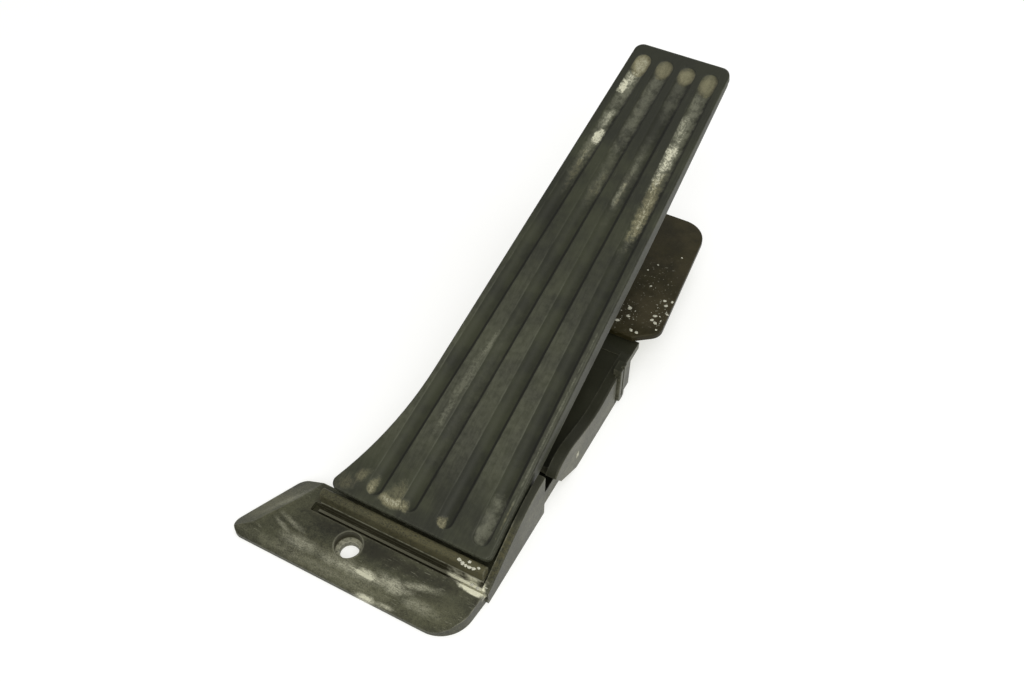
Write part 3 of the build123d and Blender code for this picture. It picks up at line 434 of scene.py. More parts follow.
# Thin film in the flutes: flute, along, offset across, reach across, reach along, strength.
# The other lists of marks in the flutes are laid out alike
FLUTE_FILM = [
    (3, 228.0, 0.0, 5.8, 34.0, 0.42),
    (3, 196.0, -0.2, 5.2, 32.0, 0.26),
    (2, 224.0, 0.0, 5.8, 50.0, 0.28),
    (2, 180.0, 0.2, 5.0, 24.0, 0.13),
    (1, 230.0, 0.0, 5.4, 20.0, 0.16),
    (1, 186.0, -1.0, 4.2, 30.0, 0.12),
    (0, 218.0, -0.8, 5.8, 46.0, 0.4),
    (0, 178.0, -0.3, 5.2, 36.0, 0.36),
    (0, 13.0, 0.0, 5.4, 20.0, 0.32),
    (2, 60.0, 0.0, 5.0, 60.0, 0.05),
]

# Round caps of tan dust at the toe ends of the flutes
FLUTE_CAPS = [
    (3, 240.4, 0.0, 5.6, 7.6, 0.72),
    (2, 241.0, 0.0, 5.6, 6.6, 0.42),
    (1, 241.2, 0.0, 5.6, 6.0, 0.46),
    (0, 240.0, 0.0, 5.6, 8.0, 0.42),
]

# Thick pale dust in the flutes
FLUTE_DUST = [
    (3, 238.0, 0.2, 3.8, 10.0, 0.6),
    (3, 231.5, -1.2, 3.6, 12.0, 1.0),
    (3, 227.0, -2.2, 2.6, 6.5, 2.2),
    (3, 208.0, -0.2, 3.4, 12.0, 0.75),
    (3, 198.0, 0.3, 3.2, 6.5, 2.0),
    (3, 188.0, -0.6, 2.2, 12.0, 0.5),
    (2, 178.0, 0.2, 3.8, 15.0, 0.24),
    (1, 188.0, -1.2, 2.0, 15.0, 0.34),
    (1, 174.0, -1.8, 1.7, 12.0, 0.6),
    (0, 212.0, -1.6, 3.6, 24.0, 0.7),
    (0, 198.0, -1.5, 3.6, 18.0, 1.5),
    (0, 187.0, -1.2, 3.4, 13.0, 1.1),
    (0, 169.0, -0.2, 3.8, 24.0, 0.7),
    (3, 7.6, -1.6, 3.0, 6.0, 0.62),
    (2, 5.8, -1.8, 3.2, 4.6, 0.6),
    (1, 6.0, -1.2, 3.0, 4.6, 0.6),
]

# Dust on the flat lands of the pad, and a thin painted highlight along the pad's right edge: x, along, reach
# across, reach along, turn in degrees, strength
LAND_DUST_AND_HIGHLIGHT = [
    (10.0, 5.4, 9.5, 3.6, -3.0, 0.72),
    (15.5, 6.0, 4.8, 3.4, 0.0, 0.75),
    (11.5, 9.0, 9.0, 8.0, 0.0, 0.22),
    (13.6, 66.0, 4.0, 30.0, 5.0, 0.26),
    (15.8, 83.0, 2.0, 16.0, 5.0, 0.36),
    (12.8, 50.0, 2.6, 15.0, 5.0, 0.28),
    (-8.0, 10.0, 3.4, 7.0, 40.0, 0.26),
    (-13.0, 5.0, 9.0, 6.0, -35.0, 0.14),
    (44.0, 60.0, 4.0, 60.0, 3.0, 0.06),
    # Painted highlight: a thin pale strip along the pad's right edge
    (57.2, 60.0, 0.7, 70.0, 0.0, 0.3),
]

# Scuffs on the foot flap, partly real scuffs and partly a painted sheen along its crease: x, y, reach
# across, reach along, turn in degrees, strength.
# The other lists of patches on the base and the lid are laid out alike
FOOT_SCUFFS_AND_SHEEN = [
    (6.0, -8.4, 28.0, 4.6, 0.0, 0.4),
    (6.0, -8.6, 16.0, 2.8, 0.0, 0.6),
    (15.0, -7.6, 10.0, 2.8, 3.0, 1.3),
    (13.0, -8.2, 9.0, 1.6, 2.0, 2.4),
    (26.5, -6.8, 12.0, 4.4, 3.0, 0.75),
    (-18.0, -8.4, 16.0, 4.2, 0.0, 0.42),
    (-3.0, -8.8, 12.0, 3.4, 0.0, 0.42),
    (40.0, -9.6, 14.0, 3.6, 0.0, 0.3),
    (38.0, -2.2, 12.0, 2.4, -10.6, 0.5),
    (33.0, -4.0, 9.0, 1.8, -14.0, 0.4),
    (17.5, -15.4, 7.0, 2.0, -3.0, 1.8),
    (27.0, -14.8, 7.0, 1.4, -3.0, 0.8),
    (-35.0, 7.3, 17.0, 2.6, -54.0, 0.3),
    (-27.0, -1.9, 10.0, 1.8, 14.5, 0.34),
    (-30.0, -5.0, 9.0, 1.6, 20.0, 0.3),
    (-6.0, -13.0, 56.0, 3.6, 0.0, 0.16),
]

# Olive film on the foot flap
FOOT_FILM = [
    (-42.0, 3.0, 24.0, 11.0, -58.0, 1.1),
    (6.0, -13.0, 66.0, 6.0, 0.0, 0.7),
    (46.0, -8.0, 24.0, 12.0, 0.0, 0.6),
    (-4.0, -6.5, 44.0, 6.0, 0.0, 0.5),
    (-24.0, 8.0, 18.0, 5.0, 10.0, 0.35),
    (52.0, 3.0, 14.0, 5.0, 0.0, 0.4),
]

# Dark grime on the foot flap in front of the groove, partly painted shade in front of the hinge bar
FOOT_GRIME_AND_SHADE = [
    (22.0, 2.6, 46.0, 5.2, 0.0, 0.8),
    (-6.0, 3.4, 22.0, 4.4, 6.0, 0.6),
    (40.0, -4.6, 20.0, 3.0, -8.0, 0.4),
]

# Pale flecks on the right rail
RAIL_FLECKS = [
    (64.8, 86.0, 1.6, 1.5, 0.0, 1.6),
    (62.6, 96.5, 1.2, 1.0, 0.0, 1.2),
]

# Cream smears at the right end of the groove
CREAM = [
    (49.0, 9.2, 9.0, 2.2, 4.0, 0.8),
    (54.5, 8.2, 7.0, 4.2, 0.0, 2.0),
    (58.0, 7.2, 4.4, 4.6, 0.0, 2.0),
    (54.0, 11.6, 6.0, 1.6, 0.0, 0.8),
]

# Dried pale drops on the foot and the hinge bar: x, y, z, radius
FOOT_DROPS = [
    (47.4, 12.2, 16.45, 0.9),
    (49.2, 11.8, 16.2, 1.1),
    (50.8, 11.6, 16.0, 0.9),
    (52.6, 11.5, 15.9, 1.1),
    (51.6, 13.0, 16.6, 0.7),
    (54.6, 11.7, 16.1, 1.0),
    (56.2, 12.4, 16.5, 0.7),
    (60.9, 10.2, 8.8, 1.0),
    (61.6, 12.6, 9.8, 0.6),
    (54.7, 9.0, 6.9, 0.8),
    (57.6, 8.6, 6.9, 0.8),
]

# Dried pale drops on the lid: x, y, radius
LID_DROPS = [
    (53.0, 165.1, 0.94),
    (54.3, 159.9, 0.81),
    (50.8, 155.1, 0.94),
    (65.9, 177.3, 0.74),
    (67.6, 174.5, 0.81),
    (69.3, 178.2, 0.68),
    (70.3, 169.6, 0.68),
    (65.6, 166.0, 0.81),
    (65.4, 163.0, 0.74),
    (67.4, 161.9, 0.94),
    (69.6, 158.2, 0.54),
    (62.1, 152.3, 0.81),
    (59.2, 152.5, 0.81),
    (53.2, 198.1, 0.47),
    (55.9, 183.2, 0.54),
    (50.2, 192.5, 0.47),
    (61.7, 208.3, 0.47),
]

# Brown film on the lid
LID_FILM = [
    (61.0, 168.0, 14.0, 24.0, 0.0, 0.55),
    (66.0, 200.0, 8.0, 20.0, 0.0, 0.3),
]

# Where pale crumbs lie on the lid
LID_CRUMBS = [
    (53.0, 160.0, 8.0, 13.0, 0.0, 1.2),
    (67.0, 167.0, 7.0, 15.0, 0.0, 1.2),
    (58.0, 185.0, 14.0, 26.0, 0.0, 0.3),
]


class PadFinish(PropertyGroup):
    """Worn matt plastic of the pad"""

    plastic: FloatVectorProperty(
        name="Plastic", description="Colour of the clean pad",
        subtype="COLOR", default=(0.0150, 0.0162, 0.0088),
    )
    # The worn colour also serves for the painted highlight on the flutes' lips
    worn: FloatVectorProperty(
        name="Worn", description="Colour of rubbed edges", subtype="COLOR", default=(0.10, 0.105, 0.082)
    )
    dust: FloatVectorProperty(
        name="Dust", description="Colour of the thick dust in the flutes",
        subtype="COLOR", default=(0.55, 0.54, 0.44),
    )
    film: FloatVectorProperty(
        name="Film", description="Colour of the thin grey film in the flutes",
        subtype="COLOR", default=(0.34, 0.34, 0.27),
    )
    tan: FloatVectorProperty(
        name="Tan dust", description="Colour of the tan dust at the flute ends",
        subtype="COLOR", default=(0.40, 0.37, 0.24),
    )
    roughness: FloatProperty(
        name="Roughness", description="Roughness of the clean pad",
        subtype="FACTOR", min=0, max=1, default=0.46,
    )
    specular: FloatProperty(
        name="Specular", description="Level of the pad's reflections",
        subtype="FACTOR", min=0, max=1, default=0.2,
    )
    grain: FloatProperty(name="Grain", description="Size of the moulded grain in millimetres", default=0.55)


class FrameFinish(PropertyGroup):
    """Moulded plastic of the base"""

    plastic: FloatVectorProperty(
        name="Plastic", description="Colour of the clean base",
        subtype="COLOR", default=(0.0205, 0.021, 0.013),
    )
    # The worn colour also serves for the painted sheen along the foot's crease and the painted highlight
    # along the groove's rib
    worn: FloatVectorProperty(
        name="Worn", description="Colour of scuffs and rubbed edges",
        subtype="COLOR", default=(0.52, 0.51, 0.41),
    )
    dust: FloatVectorProperty(
        name="Dust", description="Colour of the dry film", subtype="COLOR", default=(0.105, 0.102, 0.062)
    )
    # The mud colour, darkened, also serves for painted shade on the bar's front, on the hole's wall and in
    # front of the groove
    mud: FloatVectorProperty(
        name="Mud", description="Colour of the brown dirt on the hinge bar",
        subtype="COLOR", default=(0.080, 0.072, 0.038),
    )
    roughness: FloatProperty(
        name="Roughness", description="Roughness of the clean base",
        subtype="FACTOR", min=0, max=1, default=0.4,
    )
    specular: FloatProperty(
        name="Specular", description="Level of the base's reflections",
        subtype="FACTOR", min=0, max=1, default=0.16,
    )
    grain: FloatProperty(name="Grain", description="Size of the moulded grain in millimetres", default=0.7)


class LidFinish(PropertyGroup):
    """Flat moulded lid with its pale drops"""

    plastic: FloatVectorProperty(
        name="Plastic", description="Colour of the lid", subtype="COLOR", default=(0.0145, 0.0122, 0.0045)
    )
    film: FloatVectorProperty(
        name="Film", description="Colour of the brown film", subtype="COLOR", default=(0.06, 0.05, 0.03)
    )
    worn: FloatVectorProperty(
        name="Worn", description="Colour of rubbed edges", subtype="COLOR", default=(0.12, 0.115, 0.09)
    )
    drops: FloatVectorProperty(
        name="Drops", description="Colour of the dried drops", subtype="COLOR", default=(0.62, 0.61, 0.53)
    )
    roughness: FloatProperty(
        name="Roughness", description="Roughness of the lid", subtype="FACTOR", min=0, max=1, default=0.42
    )
    specular: FloatProperty(
        name="Specular", description="Level of the lid's reflections",
        subtype="FACTOR", min=0, max=1, default=0.12,
    )
    grain: FloatProperty(name="Grain", description="Size of the moulded grain in millimetres", default=0.6)


class InnerFinish(PropertyGroup):
    """Metal, rubber and plastic of the parts inside"""

    steel: FloatVectorProperty(
        name="Steel", description="Colour of plated steel", subtype="COLOR", default=(0.5, 0.5, 0.48)
    )
    screws: FloatVectorProperty(
        name="Screws", description="Colour of the blackened screws",
        subtype="COLOR", default=(0.05, 0.047, 0.04),
    )
    rubber: FloatVectorProperty(
        name="Rubber", description="Colour of seals and stops",
        subtype="COLOR", default=(0.018, 0.018, 0.017),
    )
    pale: FloatVectorProperty(
        name="Pale plastic", description="Colour of bushes and roller",
        subtype="COLOR", default=(0.5, 0.48, 0.4),
    )
    lever: FloatVectorProperty(
        name="Lever", description="Colour of the lever's glass-filled plastic",
        subtype="COLOR", default=(0.024, 0.024, 0.023),
    )
    board: FloatVectorProperty(
        name="Board", description="Colour of the solder resist",
        subtype="COLOR", default=(0.015, 0.085, 0.035),
    )
    copper: FloatVectorProperty(
        name="Copper", description="Colour of the tracks under the resist",
        subtype="COLOR", default=(0.03, 0.15, 0.06),
    )
    brass: FloatVectorProperty(
        name="Brass", description="Colour of the terminals", subtype="COLOR", default=(0.7, 0.52, 0.22)
    )
    magnet: FloatVectorProperty(
        name="Magnet", description="Colour of the sintered magnet",
        subtype="COLOR", default=(0.07, 0.07, 0.075),
    )


class StageSet(PropertyGroup):
    """Floor, light and camera"""

    floor: FloatVectorProperty(
        name="Floor", description="Colour of the floor", subtype="COLOR", default=(0.50, 0.50, 0.58)
    )
    glow: FloatVectorProperty(
        name="Paper", description="Part of the floor's white that takes no shadow",
        subtype="COLOR", default=(0.55, 0.55, 0.50),
    )
    sky: FloatProperty(name="Room light", description="Level of the even room light", default=0.42)
    key: FloatProperty(
        name="Key light", description="Power of the large front light", unit="POWER", default=28.0
    )
    top: FloatProperty(
        name="Top light", description="Power of the overhead light", unit="POWER", default=9.0
    )
    side: FloatProperty(
        name="Side light", description="Power of the right-hand fill light", unit="POWER", default=6.0
    )
    lens: FloatProperty(
        name="Lens", description="Focal length of the camera", subtype="DISTANCE_CAMERA", default=39.375
    )


class PedalSettings(PropertyGroup):
    """All finishes of the pedal"""

    pad: PointerProperty(type=PadFinish)
    base: PointerProperty(type=FrameFinish)
    lid: PointerProperty(type=LidFinish)
    inner: PointerProperty(type=InnerFinish)
    stage: PointerProperty(type=StageSet)


def in_flutes(marks):
    """Marks of the flutes, counted from the right, as patches on the pad"""
    spread = []
    for flute, along, offset, wide, run, strength in marks:
        middle = FLUTE_RIGHT - flute * (FLUTE_HEEL_PITCH - FLUTE_FAN * (along - FLUTE_HEEL_END))
        turn = flute * FLUTE_FAN * 180 / pi
        spread.append((middle + offset, along, wide, run, turn, strength))
    return spread


def pad_coat(finish):
    """Fluted pad: matt plastic, dusty flutes, rubbed lips with a painted highlight, and painted shade on the
    flutes' right walls
    """
    coat = Coat("pad_plastic_worn", finish.roughness, finish.specular)
    tree = coat.tree
    pad = coat.use(pad_place_group, Place=coat.place)["Pad"]
    _, along, height = placed(tree, "ShaderNodeSeparateXYZ", {0: pad}).outputs

    # Faces: floors and walls of the flutes, the lands between them, and the flutes' right walls, which face
    # away from the light and get painted shade
    up = (0.0, -sin(radians(PAD_TILT)), cos(radians(PAD_TILT)))
    upward = ramped(tree, aligned(tree, coat.coords["Normal"], up), 0.5, 0.85)
    sideways = aligned(tree, coat.coords["Normal"], (1, 0, 0))
    above = ramped(tree, height, *PAD_SKIN)
    floor = product(tree, ramped(tree, height, *FLUTE_FLOOR), above, upward)
    trough = product(tree, ramped(tree, height, *FLUTE_WALL), above, upward)
    land = product(tree, ramped(tree, height, *PAD_LAND), upward)
    flute_wall_shade = product(tree, between(tree, height, *PAD_WALL_SHADE, 0.15), ramped(tree, sideways, -0.15, -0.45))

    # Noise: streaks along the pad, mottling, specks and soft clouds
    streak = cloudy(tree, moved(tree, "MULTIPLY", pad, (1.0, 0.12, 1.0)), 0.7, 6.0, 0.7)
    mottle = cloudy(tree, pad, 0.9, 6.0, 0.75)
    speck = cloudy(tree, pad, 2.2, 3.0, 0.7)
    soft = cloudy(tree, pad, 0.3, 4.0, 0.6)
    ragged = ragged_edge(tree, pad, 0.22, 5.0, 0.7, 1.7)
    mixed = summed(tree, streak, 0.35, mottle, 0.65)
    even = ramped(tree, mixed, 0.36, 0.62, 0.55, 0.92)
    holes = ramped(tree, soft, 0.36, 0.52, 0.45, 1.0)

    # Dust in the flutes and on the lands, and a painted highlight along the pad's right edge
    thin = product(tree, coat.patches(pad, in_flutes(FLUTE_FILM), ragged, 0.1), even, holes, floor)
    caps = coat.patches(pad, in_flutes(FLUTE_CAPS), product(tree, ragged, 0.3), 0.35)
    caps = product(tree, caps, even, trough)
    thick = coat.patches(pad, in_flutes(FLUTE_DUST), ragged, 0.1)
    thick = product(tree, thick, ramped(tree, mixed, *NOISE_SPAN, 0.2, 1.0), trough)
    flat = coat.patches(pad, LAND_DUST_AND_HIGHLIGHT, ragged)
    flat = product(tree, flat, ramped(tree, mixed, 0.36, 0.6, 0.2, 1.0), land)
    trodden = product(tree, ramped(tree, along, *TRODDEN_TOE), ramped(tree, along, *TRODDEN_HEEL, 0.2, 1.0))
    film = product(tree, ramped(tree, soft, 0.3, 0.62, 0.4, 1.0), land, trodden, 0.09)
    film = product(tree, film, ramped(tree, streak, *NOISE_SPAN, 0.8, 1.2))
    sides = product(tree, ramped(tree, upward, 0.5, 0.0), ramped(tree, mixed, *NOISE_SPAN), 0.16)
    flecks = product(tree, ramped(tree, speck, 0.66, 0.74), ramped(tree, mottle, 0.5, 0.7), upward, 0.2)
    dust = strongest(tree, [thin, caps, thick, flat, film, flecks, sides])

    # Wear and painted highlight: rubbed edges, scratches on the lands, and pale lips of the flutes, partly
    # rubbed and partly a painted highlight on their rounded edges
    skin = coat.use(grain_group, Place=coat.place, Grain=finish.grain, Cloud=22.0)
    rub = coat.use(edge_group, Place=coat.place, Reach=0.9, Amount=0.5)["Mask"]
    scratch = coat.use(scratch_group, Place=pad, Stretch=(1.0, 0.06, 1.0), Amount=0.35)["Mask"]
    heel = ramped(tree, along, *HEEL_WEAR, 0.3, 1.0)
    lip_rub_and_highlight = product(tree, between(tree, height, *PAD_LIP, 0.06), upward)
    lip_rub_and_highlight = product(tree, lip_rub_and_highlight, ramped(tree, streak, 0.35, 0.6), heel, 0.22)
    rub = strongest(tree, [rub, product(tree, scratch, land), lip_rub_and_highlight])

    # Colours, from the bare plastic up to the thick dust
    tone = summed(tree, skin["Tone"], 0.85, streak, 0.15)
    share = ramped(tree, tone, *NOISE_SPAN)
    dark = blended(tree, share, rgba(finish.plastic, 0.62), rgba(finish.plastic, 1.7))
    dim = product(tree, land, ramped(tree, along, *TOE_SHADE), 0.7)
    dark = blended(tree, dim, dark, rgba(finish.plastic, 0.55))
    # Painted shade: the flutes' right walls, facing away from the light, drawn near black
    dark = blended(tree, product(tree, flute_wall_shade, upward, 0.85), dark, rgba(finish.plastic, 0.15))
    # Rubbed edges, scratches and the lips' painted highlight, all in the worn colour
    colour = blended(tree, rub, dark, rgba(finish.worn))
    brownish = product(tree, thin, ramped(tree, along, *BROWN_TOE), ramped(tree, along, *BROWN_HEEL))
    heel_dust = product(tree, strongest(tree, [thick, flat]), ramped(tree, along, *HEEL_DUST))
    tan = strongest(tree, [caps, brownish, heel_dust])
    pale = blended(tree, ramped(tree, tan, 0.02, 0.12), rgba(finish.film), rgba(finish.tan))
    pale = blended(tree, ramped(tree, dust, 0.35, 0.8), pale, rgba(finish.dust))
    coat.feed("Base Color", blended(tree, dust, colour, pale))

    rough = worked(tree, "ADD", finish.roughness - 0.1, product(tree, tone, 0.2))
    coat.feed("Roughness", worked(tree, "ADD", rough, product(tree, dust, 0.4)))
    relief = worked(tree, "ADD", product(tree, skin["Height"], 0.5), product(tree, dust, mottle, 0.4))
    coat.bump(relief, 0.08)
    return coat


def frame_coat(finish):
    """Base moulding: scuffed foot flap with a painted sheen along its crease, brown dirt and painted shade
    on the hinge bar, painted shade in the rail's hollow and the fixing hole, settled film
    """
    coat = Coat("frame_plastic_worn", finish.roughness, finish.specular)
    tree = coat.tree
    place = coat.place
    across, along, height = placed(tree, "ShaderNodeSeparateXYZ", {0: place}).outputs
    upward = ramped(tree, aligned(tree, coat.coords["Normal"], UP), 0.3, 0.85)

    # Noise: clumps, specks, smears drawn out across the part and wide clouds
    clumps = cloudy(tree, place, 0.6, 6.0, 0.74)
    speck = cloudy(tree, place, 1.7, 4.0, 0.75)
    drawn = cloudy(tree, moved(tree, "MULTIPLY", place, (0.3, 1.0, 1.0)), 1.0, 5.0, 0.75)
    wide = cloudy(tree, place, 0.09, 5.0, 0.65)
    ragged = ragged_edge(tree, place, 0.2, 6.0, 0.72, 1.8)
    mixed = summed(tree, clumps, 0.35, speck, 0.65)
    grit = summed(tree, drawn, 0.5, speck, 0.5)
    uneven = ramped(tree, worked(tree, "ADD", wide, clumps), 0.75, 1.3, 0.35, 1.65)

    # Foot flap: scuffs with a painted sheen along the crease, olive film, dull specks, dark grime with
    # painted shade, and scratches
    foot = product(tree, ramped(tree, along, *FOOT_Y), ramped(tree, height, *FOOT_Z))
    broken = product(tree, ragged, 0.6)
    scuff_and_sheen = coat.patches(place, FOOT_SCUFFS_AND_SHEEN, broken, 0.0)
    scuff_and_sheen = product(tree, scuff_and_sheen, ramped(tree, grit, *NOISE_SPAN, 0.2, 1.1), foot)
    olive = coat.patches(place, FOOT_FILM, broken)
    olive = product(tree, olive, ramped(tree, mixed, *NOISE_SPAN, 0.25, 1.0), foot)
    dull = product(tree, ramped(tree, mixed, 0.42, 0.68), ramped(tree, wide, 0.35, 0.65), upward, foot, 0.4)
    grime_and_shade = coat.patches(place, FOOT_GRIME_AND_SHADE, ragged)
    grime_and_shade = product(tree, grime_and_shade, ramped(tree, grit, 0.3, 0.55, 0.4, 1.0), foot, upward)
    scratch = coat.use(scratch_group, Place=place, Stretch=(0.12, 1.0, 1.0), Amount=0.5)["Mask"]
    scratch = product(tree, scratch, foot, upward)

    # Dry haze, strongest at the rail's low end and on upright faces, where it is partly painted light that
    # makes them paler
    low_end = product(tree, ramped(tree, across, *LOW_END_X), between(tree, along, *LOW_END_Y, 12.0))
    haze = product(tree, ramped(tree, grit, *NOISE_SPAN), ramped(tree, upward, 0.0, 1.0, 0.6, 0.22))
    haze = product(tree, haze, uneven, ramped(tree, low_end, 0.0, 1.0, 1.0, 1.5))

    # Cream smears in the groove and flecks on the rail
    cream = coat.patches(place, CREAM, product(tree, ragged, 0.7), 0.4)
    cream = product(tree, cream, ramped(tree, clumps, 0.3, 0.5, 0.3, 1.0))
    cream = product(tree, cream, between(tree, along, *CREAM_Y, 0.5), between(tree, height, *CREAM_Z, 0.6))
    fleck = coat.patches(place, RAIL_FLECKS, ragged, 0.4)
    fleck = product(tree, fleck, between(tree, height, *FLECK_Z, 1.0))
    cream = strongest(tree, [cream, product(tree, fleck, ramped(tree, clumps, 0.35, 0.55))])

    # Hinge bar and cheek: brown tops, painted shade on the lower front, pale worn ledges and a painted
    # highlight along the rib in the groove
    bar = product(tree, between(tree, along, *BAR_Y, 0.4), between(tree, across, *BAR_X, 2.0))
    bar = product(tree, bar, ramped(tree, height, *BAR_Z))
    brown = product(tree, bar, ramped(tree, height, *BAR_BROWN_Z), ramped(tree, mixed, 0.38, 0.6, 0.15, 1.0))
    brown = product(tree, brown, ramped(tree, across, *BAR_BROWN_X, 0.5, 1.0))
    shaded = product(tree, bar, ramped(tree, height, *BAR_FRONT_Z), 0.85)
    ledge_wear_and_highlight = product(tree, bar, between(tree, height, *BAR_LEDGE_Z, 0.3))
    ledge_wear_and_highlight = product(tree, ledge_wear_and_highlight, ramped(tree, clumps, 0.35, 0.6, 0.1, 0.4))
    # Painted highlight: a faint pale line along the rib in the groove
    ledge_wear_and_highlight = strongest(tree, [ledge_wear_and_highlight, product(tree, bar, between(tree, height, *BAR_RIB_HIGHLIGHT_Z, 0.2), 0.12)])
    cheek = product(tree, between(tree, along, *CHEEK_Y, 4.0), ramped(tree, across, *CHEEK_X), upward)
    brown = strongest(tree, [brown, product(tree, cheek, ramped(tree, clumps, 0.4, 0.6), 0.7)])

    # Right rail: darker top, partly dirt and partly painted shade under the pad; painted shade in the low
    # hollow; chalky flank
    flank = product(tree, ramped(tree, across, *FLANK_X), between(tree, along, *FLANK_Y, 3.0))
    rail_top_dirt_and_shade = product(tree, flank, upward, ramped(tree, clumps, 0.25, 0.5, 0.6, 0.95))
    rail_hollow_shade = product(tree, flank, upward, ramped(tree, height, *RAIL_HOLLOW_SHADE_Z))
    chalk = product(tree, flank, ramped(tree, upward, 0.5, 0.0), uneven, 0.07)

    # Fixing hole: dusty seat, painted shade on its wall and rubbed rim
    bore = length(tree, moved(tree, "MULTIPLY", place, (1, 1, 0)))
    inside = ramped(tree, bore, *RECESS_RADIUS)
    seat = product(tree, inside, ramped(tree, height, *SEAT_Z), ramped(tree, clumps, 0.3, 0.55, 0.08, 0.45))
    hole_wall_shade = product(tree, inside, ramped(tree, height, *WALL_Z), 0.8)
    rim = product(tree, between(tree, bore, *RIM_RADIUS, 0.3), ramped(tree, height, *RIM_Z), 0.14)

    # Rubbed edges, weaker along the rail and in the groove
    groove = product(tree, between(tree, along, *GROOVE_Y, 0.4), ramped(tree, across, *GROOVE_X))
    calm = ramped(tree, worked(tree, "MAXIMUM", flank, groove), 0.0, 1.0, 1.0, 0.3)
    rub = product(tree, coat.use(edge_group, Place=place, Reach=0.8, Amount=0.35)["Mask"], calm)
    # Pale worn colour: rubbed edges, scuffs with the crease's painted sheen, scratches, the rim, ledges with
    # the rib's painted highlight, and chalk
    worn = strongest(tree, [rub, scuff_and_sheen, product(tree, scratch, 0.6), rim, ledge_wear_and_highlight, chalk])

    # Colours, from the bare plastic up to the cream smears
    skin = coat.use(grain_group, Place=place, Grain=finish.grain, Cloud=16.0)
    film = coat.use(settled_group, Place=place, Film=0.16, Corner=0.4)["Mask"]
    tone = summed(tree, skin["Tone"], 0.5, mixed, 0.5)
    share = ramped(tree, tone, *NOISE_SPAN)
    colour = blended(tree, share, rgba(finish.plastic, 0.4), rgba(finish.plastic, 2.5))
    for mask, layer in (
        # Settled film, olive film, dull specks and haze, the haze partly painted light on upright faces
        (strongest(tree, [film, olive, dull, haze]), rgba(finish.dust)),
        # Dark grime, partly painted shade, in front of the groove
        (grime_and_shade, rgba(finish.mud, 0.12)),
        # Darker rail top: partly dirt, partly painted shade under the pad
        (rail_top_dirt_and_shade, rgba(finish.plastic, 0.8)),
        # Painted shade: the rail's low hollow drawn near black
        (rail_hollow_shade, rgba(finish.plastic, 0.2)),
        (brown, rgba(finish.mud)),
        (shaded, rgba(finish.mud, 0.3)),
        (worn, rgba(finish.worn)),
        # Painted shade: the hole's wall in a dark brown
        (hole_wall_shade, rgba(finish.mud, 0.35)),
        (strongest(tree, [seat, cream]), rgba(finish.worn, 1.2)),
    ):
        colour = blended(tree, mask, colour, layer)
    coat.feed("Base Color", colour)

    dirt = strongest(tree, [film, brown, scuff_and_sheen, seat, cream])
    rough = worked(tree, "ADD", finish.roughness - 0.1, product(tree, tone, 0.2))
    coat.feed("Roughness", worked(tree, "ADD", rough, product(tree, dirt, 0.4)))
    relief = worked(tree, "ADD", product(tree, skin["Height"], 0.5), product(tree, dirt, clumps))
    coat.bump(relief, 0.10)
    return coat


def lid_coat(finish):
    """Flat lid: fine grain, a brown film and pale crumbs"""
    coat = Coat("lid_plastic_worn", finish.roughness, finish.specular)
    tree = coat.tree
    place = coat.place
    skin = coat.use(grain_group, Place=place, Grain=finish.grain, Cloud=12.0)
    film = coat.use(settled_group, Place=place, Film=0.35, Corner=0.4)["Mask"]
    ragged = ragged_edge(tree, place, 0.12, 6.0, 0.7, 1.8)
    film = worked(tree, "MAXIMUM", film, coat.patches(place, LID_FILM, ragged, 0.0))
    rub = coat.use(edge_group, Place=place, Reach=0.6, Amount=0.3)["Mask"]
    share = ramped(tree, skin["Tone"], 0.35, 0.7)
    colour = blended(tree, share, rgba(finish.plastic), rgba(finish.plastic, 1.7))
    colour = blended(tree, film, colour, rgba(finish.film))
    colour = blended(tree, rub, colour, rgba(finish.worn))
    crumbs = ramped(tree, cloudy(tree, place, 0.8, 3.0, 0.6), 0.63, 0.68)
    crumbs = product(tree, crumbs, coat.patches(place, LID_CRUMBS, 0.0))
    coat.feed("Base Color", blended(tree, crumbs, colour, rgba(finish.drops)))
    coat.feed("Roughness", worked(tree, "ADD", finish.roughness, product(tree, film, 0.35)))
    coat.bump(skin["Height"], 0.06)
    return coat


def metal_coat(name, colour, roughness, stretch):
    """Drawn or turned metal with faint lines and a dull bloom"""
    coat = Coat(name, roughness)
    tree = coat.tree
    lines = cloudy(tree, moved(tree, "MULTIPLY", coat.place, stretch), 3.0, 3.0, 0.6)
    bloom = cloudy(tree, coat.place, 0.35, 4.0, 0.6)
    shade = blended(tree, ramped(tree, bloom, 0.35, 0.7), rgba(colour), rgba(colour, 0.72))
    coat.feed("Base Color", shade)
    coat.feed("Metallic", 1.0)
    coat.feed("Roughness", worked(tree, "ADD", roughness - 0.08, product(tree, bloom, 0.16)))
    coat.bump(lines, 0.02)
    return coat


def moulded_coat(name, colour, roughness, grain, spread=1.3):
    """Plain moulded plastic or rubber with grain, cloud and light dust in its corners"""
    coat = Coat(name, roughness)
    tree = coat.tree
    skin = coat.use(grain_group, Place=coat.place, Grain=grain, Cloud=7.0)
    film = coat.use(settled_group, Place=coat.place, Film=0.12, Corner=0.25)["Mask"]
    shade = blended(tree, ramped(tree, skin["Tone"], 0.3, 0.7), rgba(colour), rgba(colour, spread))
    coat.feed("Base Color", blended(tree, film, shade, rgba(INNER_DUST)))
    coat.feed("Roughness", worked(tree, "ADD", roughness - 0.05, product(tree, skin["Tone"], 0.14)))
    coat.bump(skin["Height"], 0.04)
    return coat


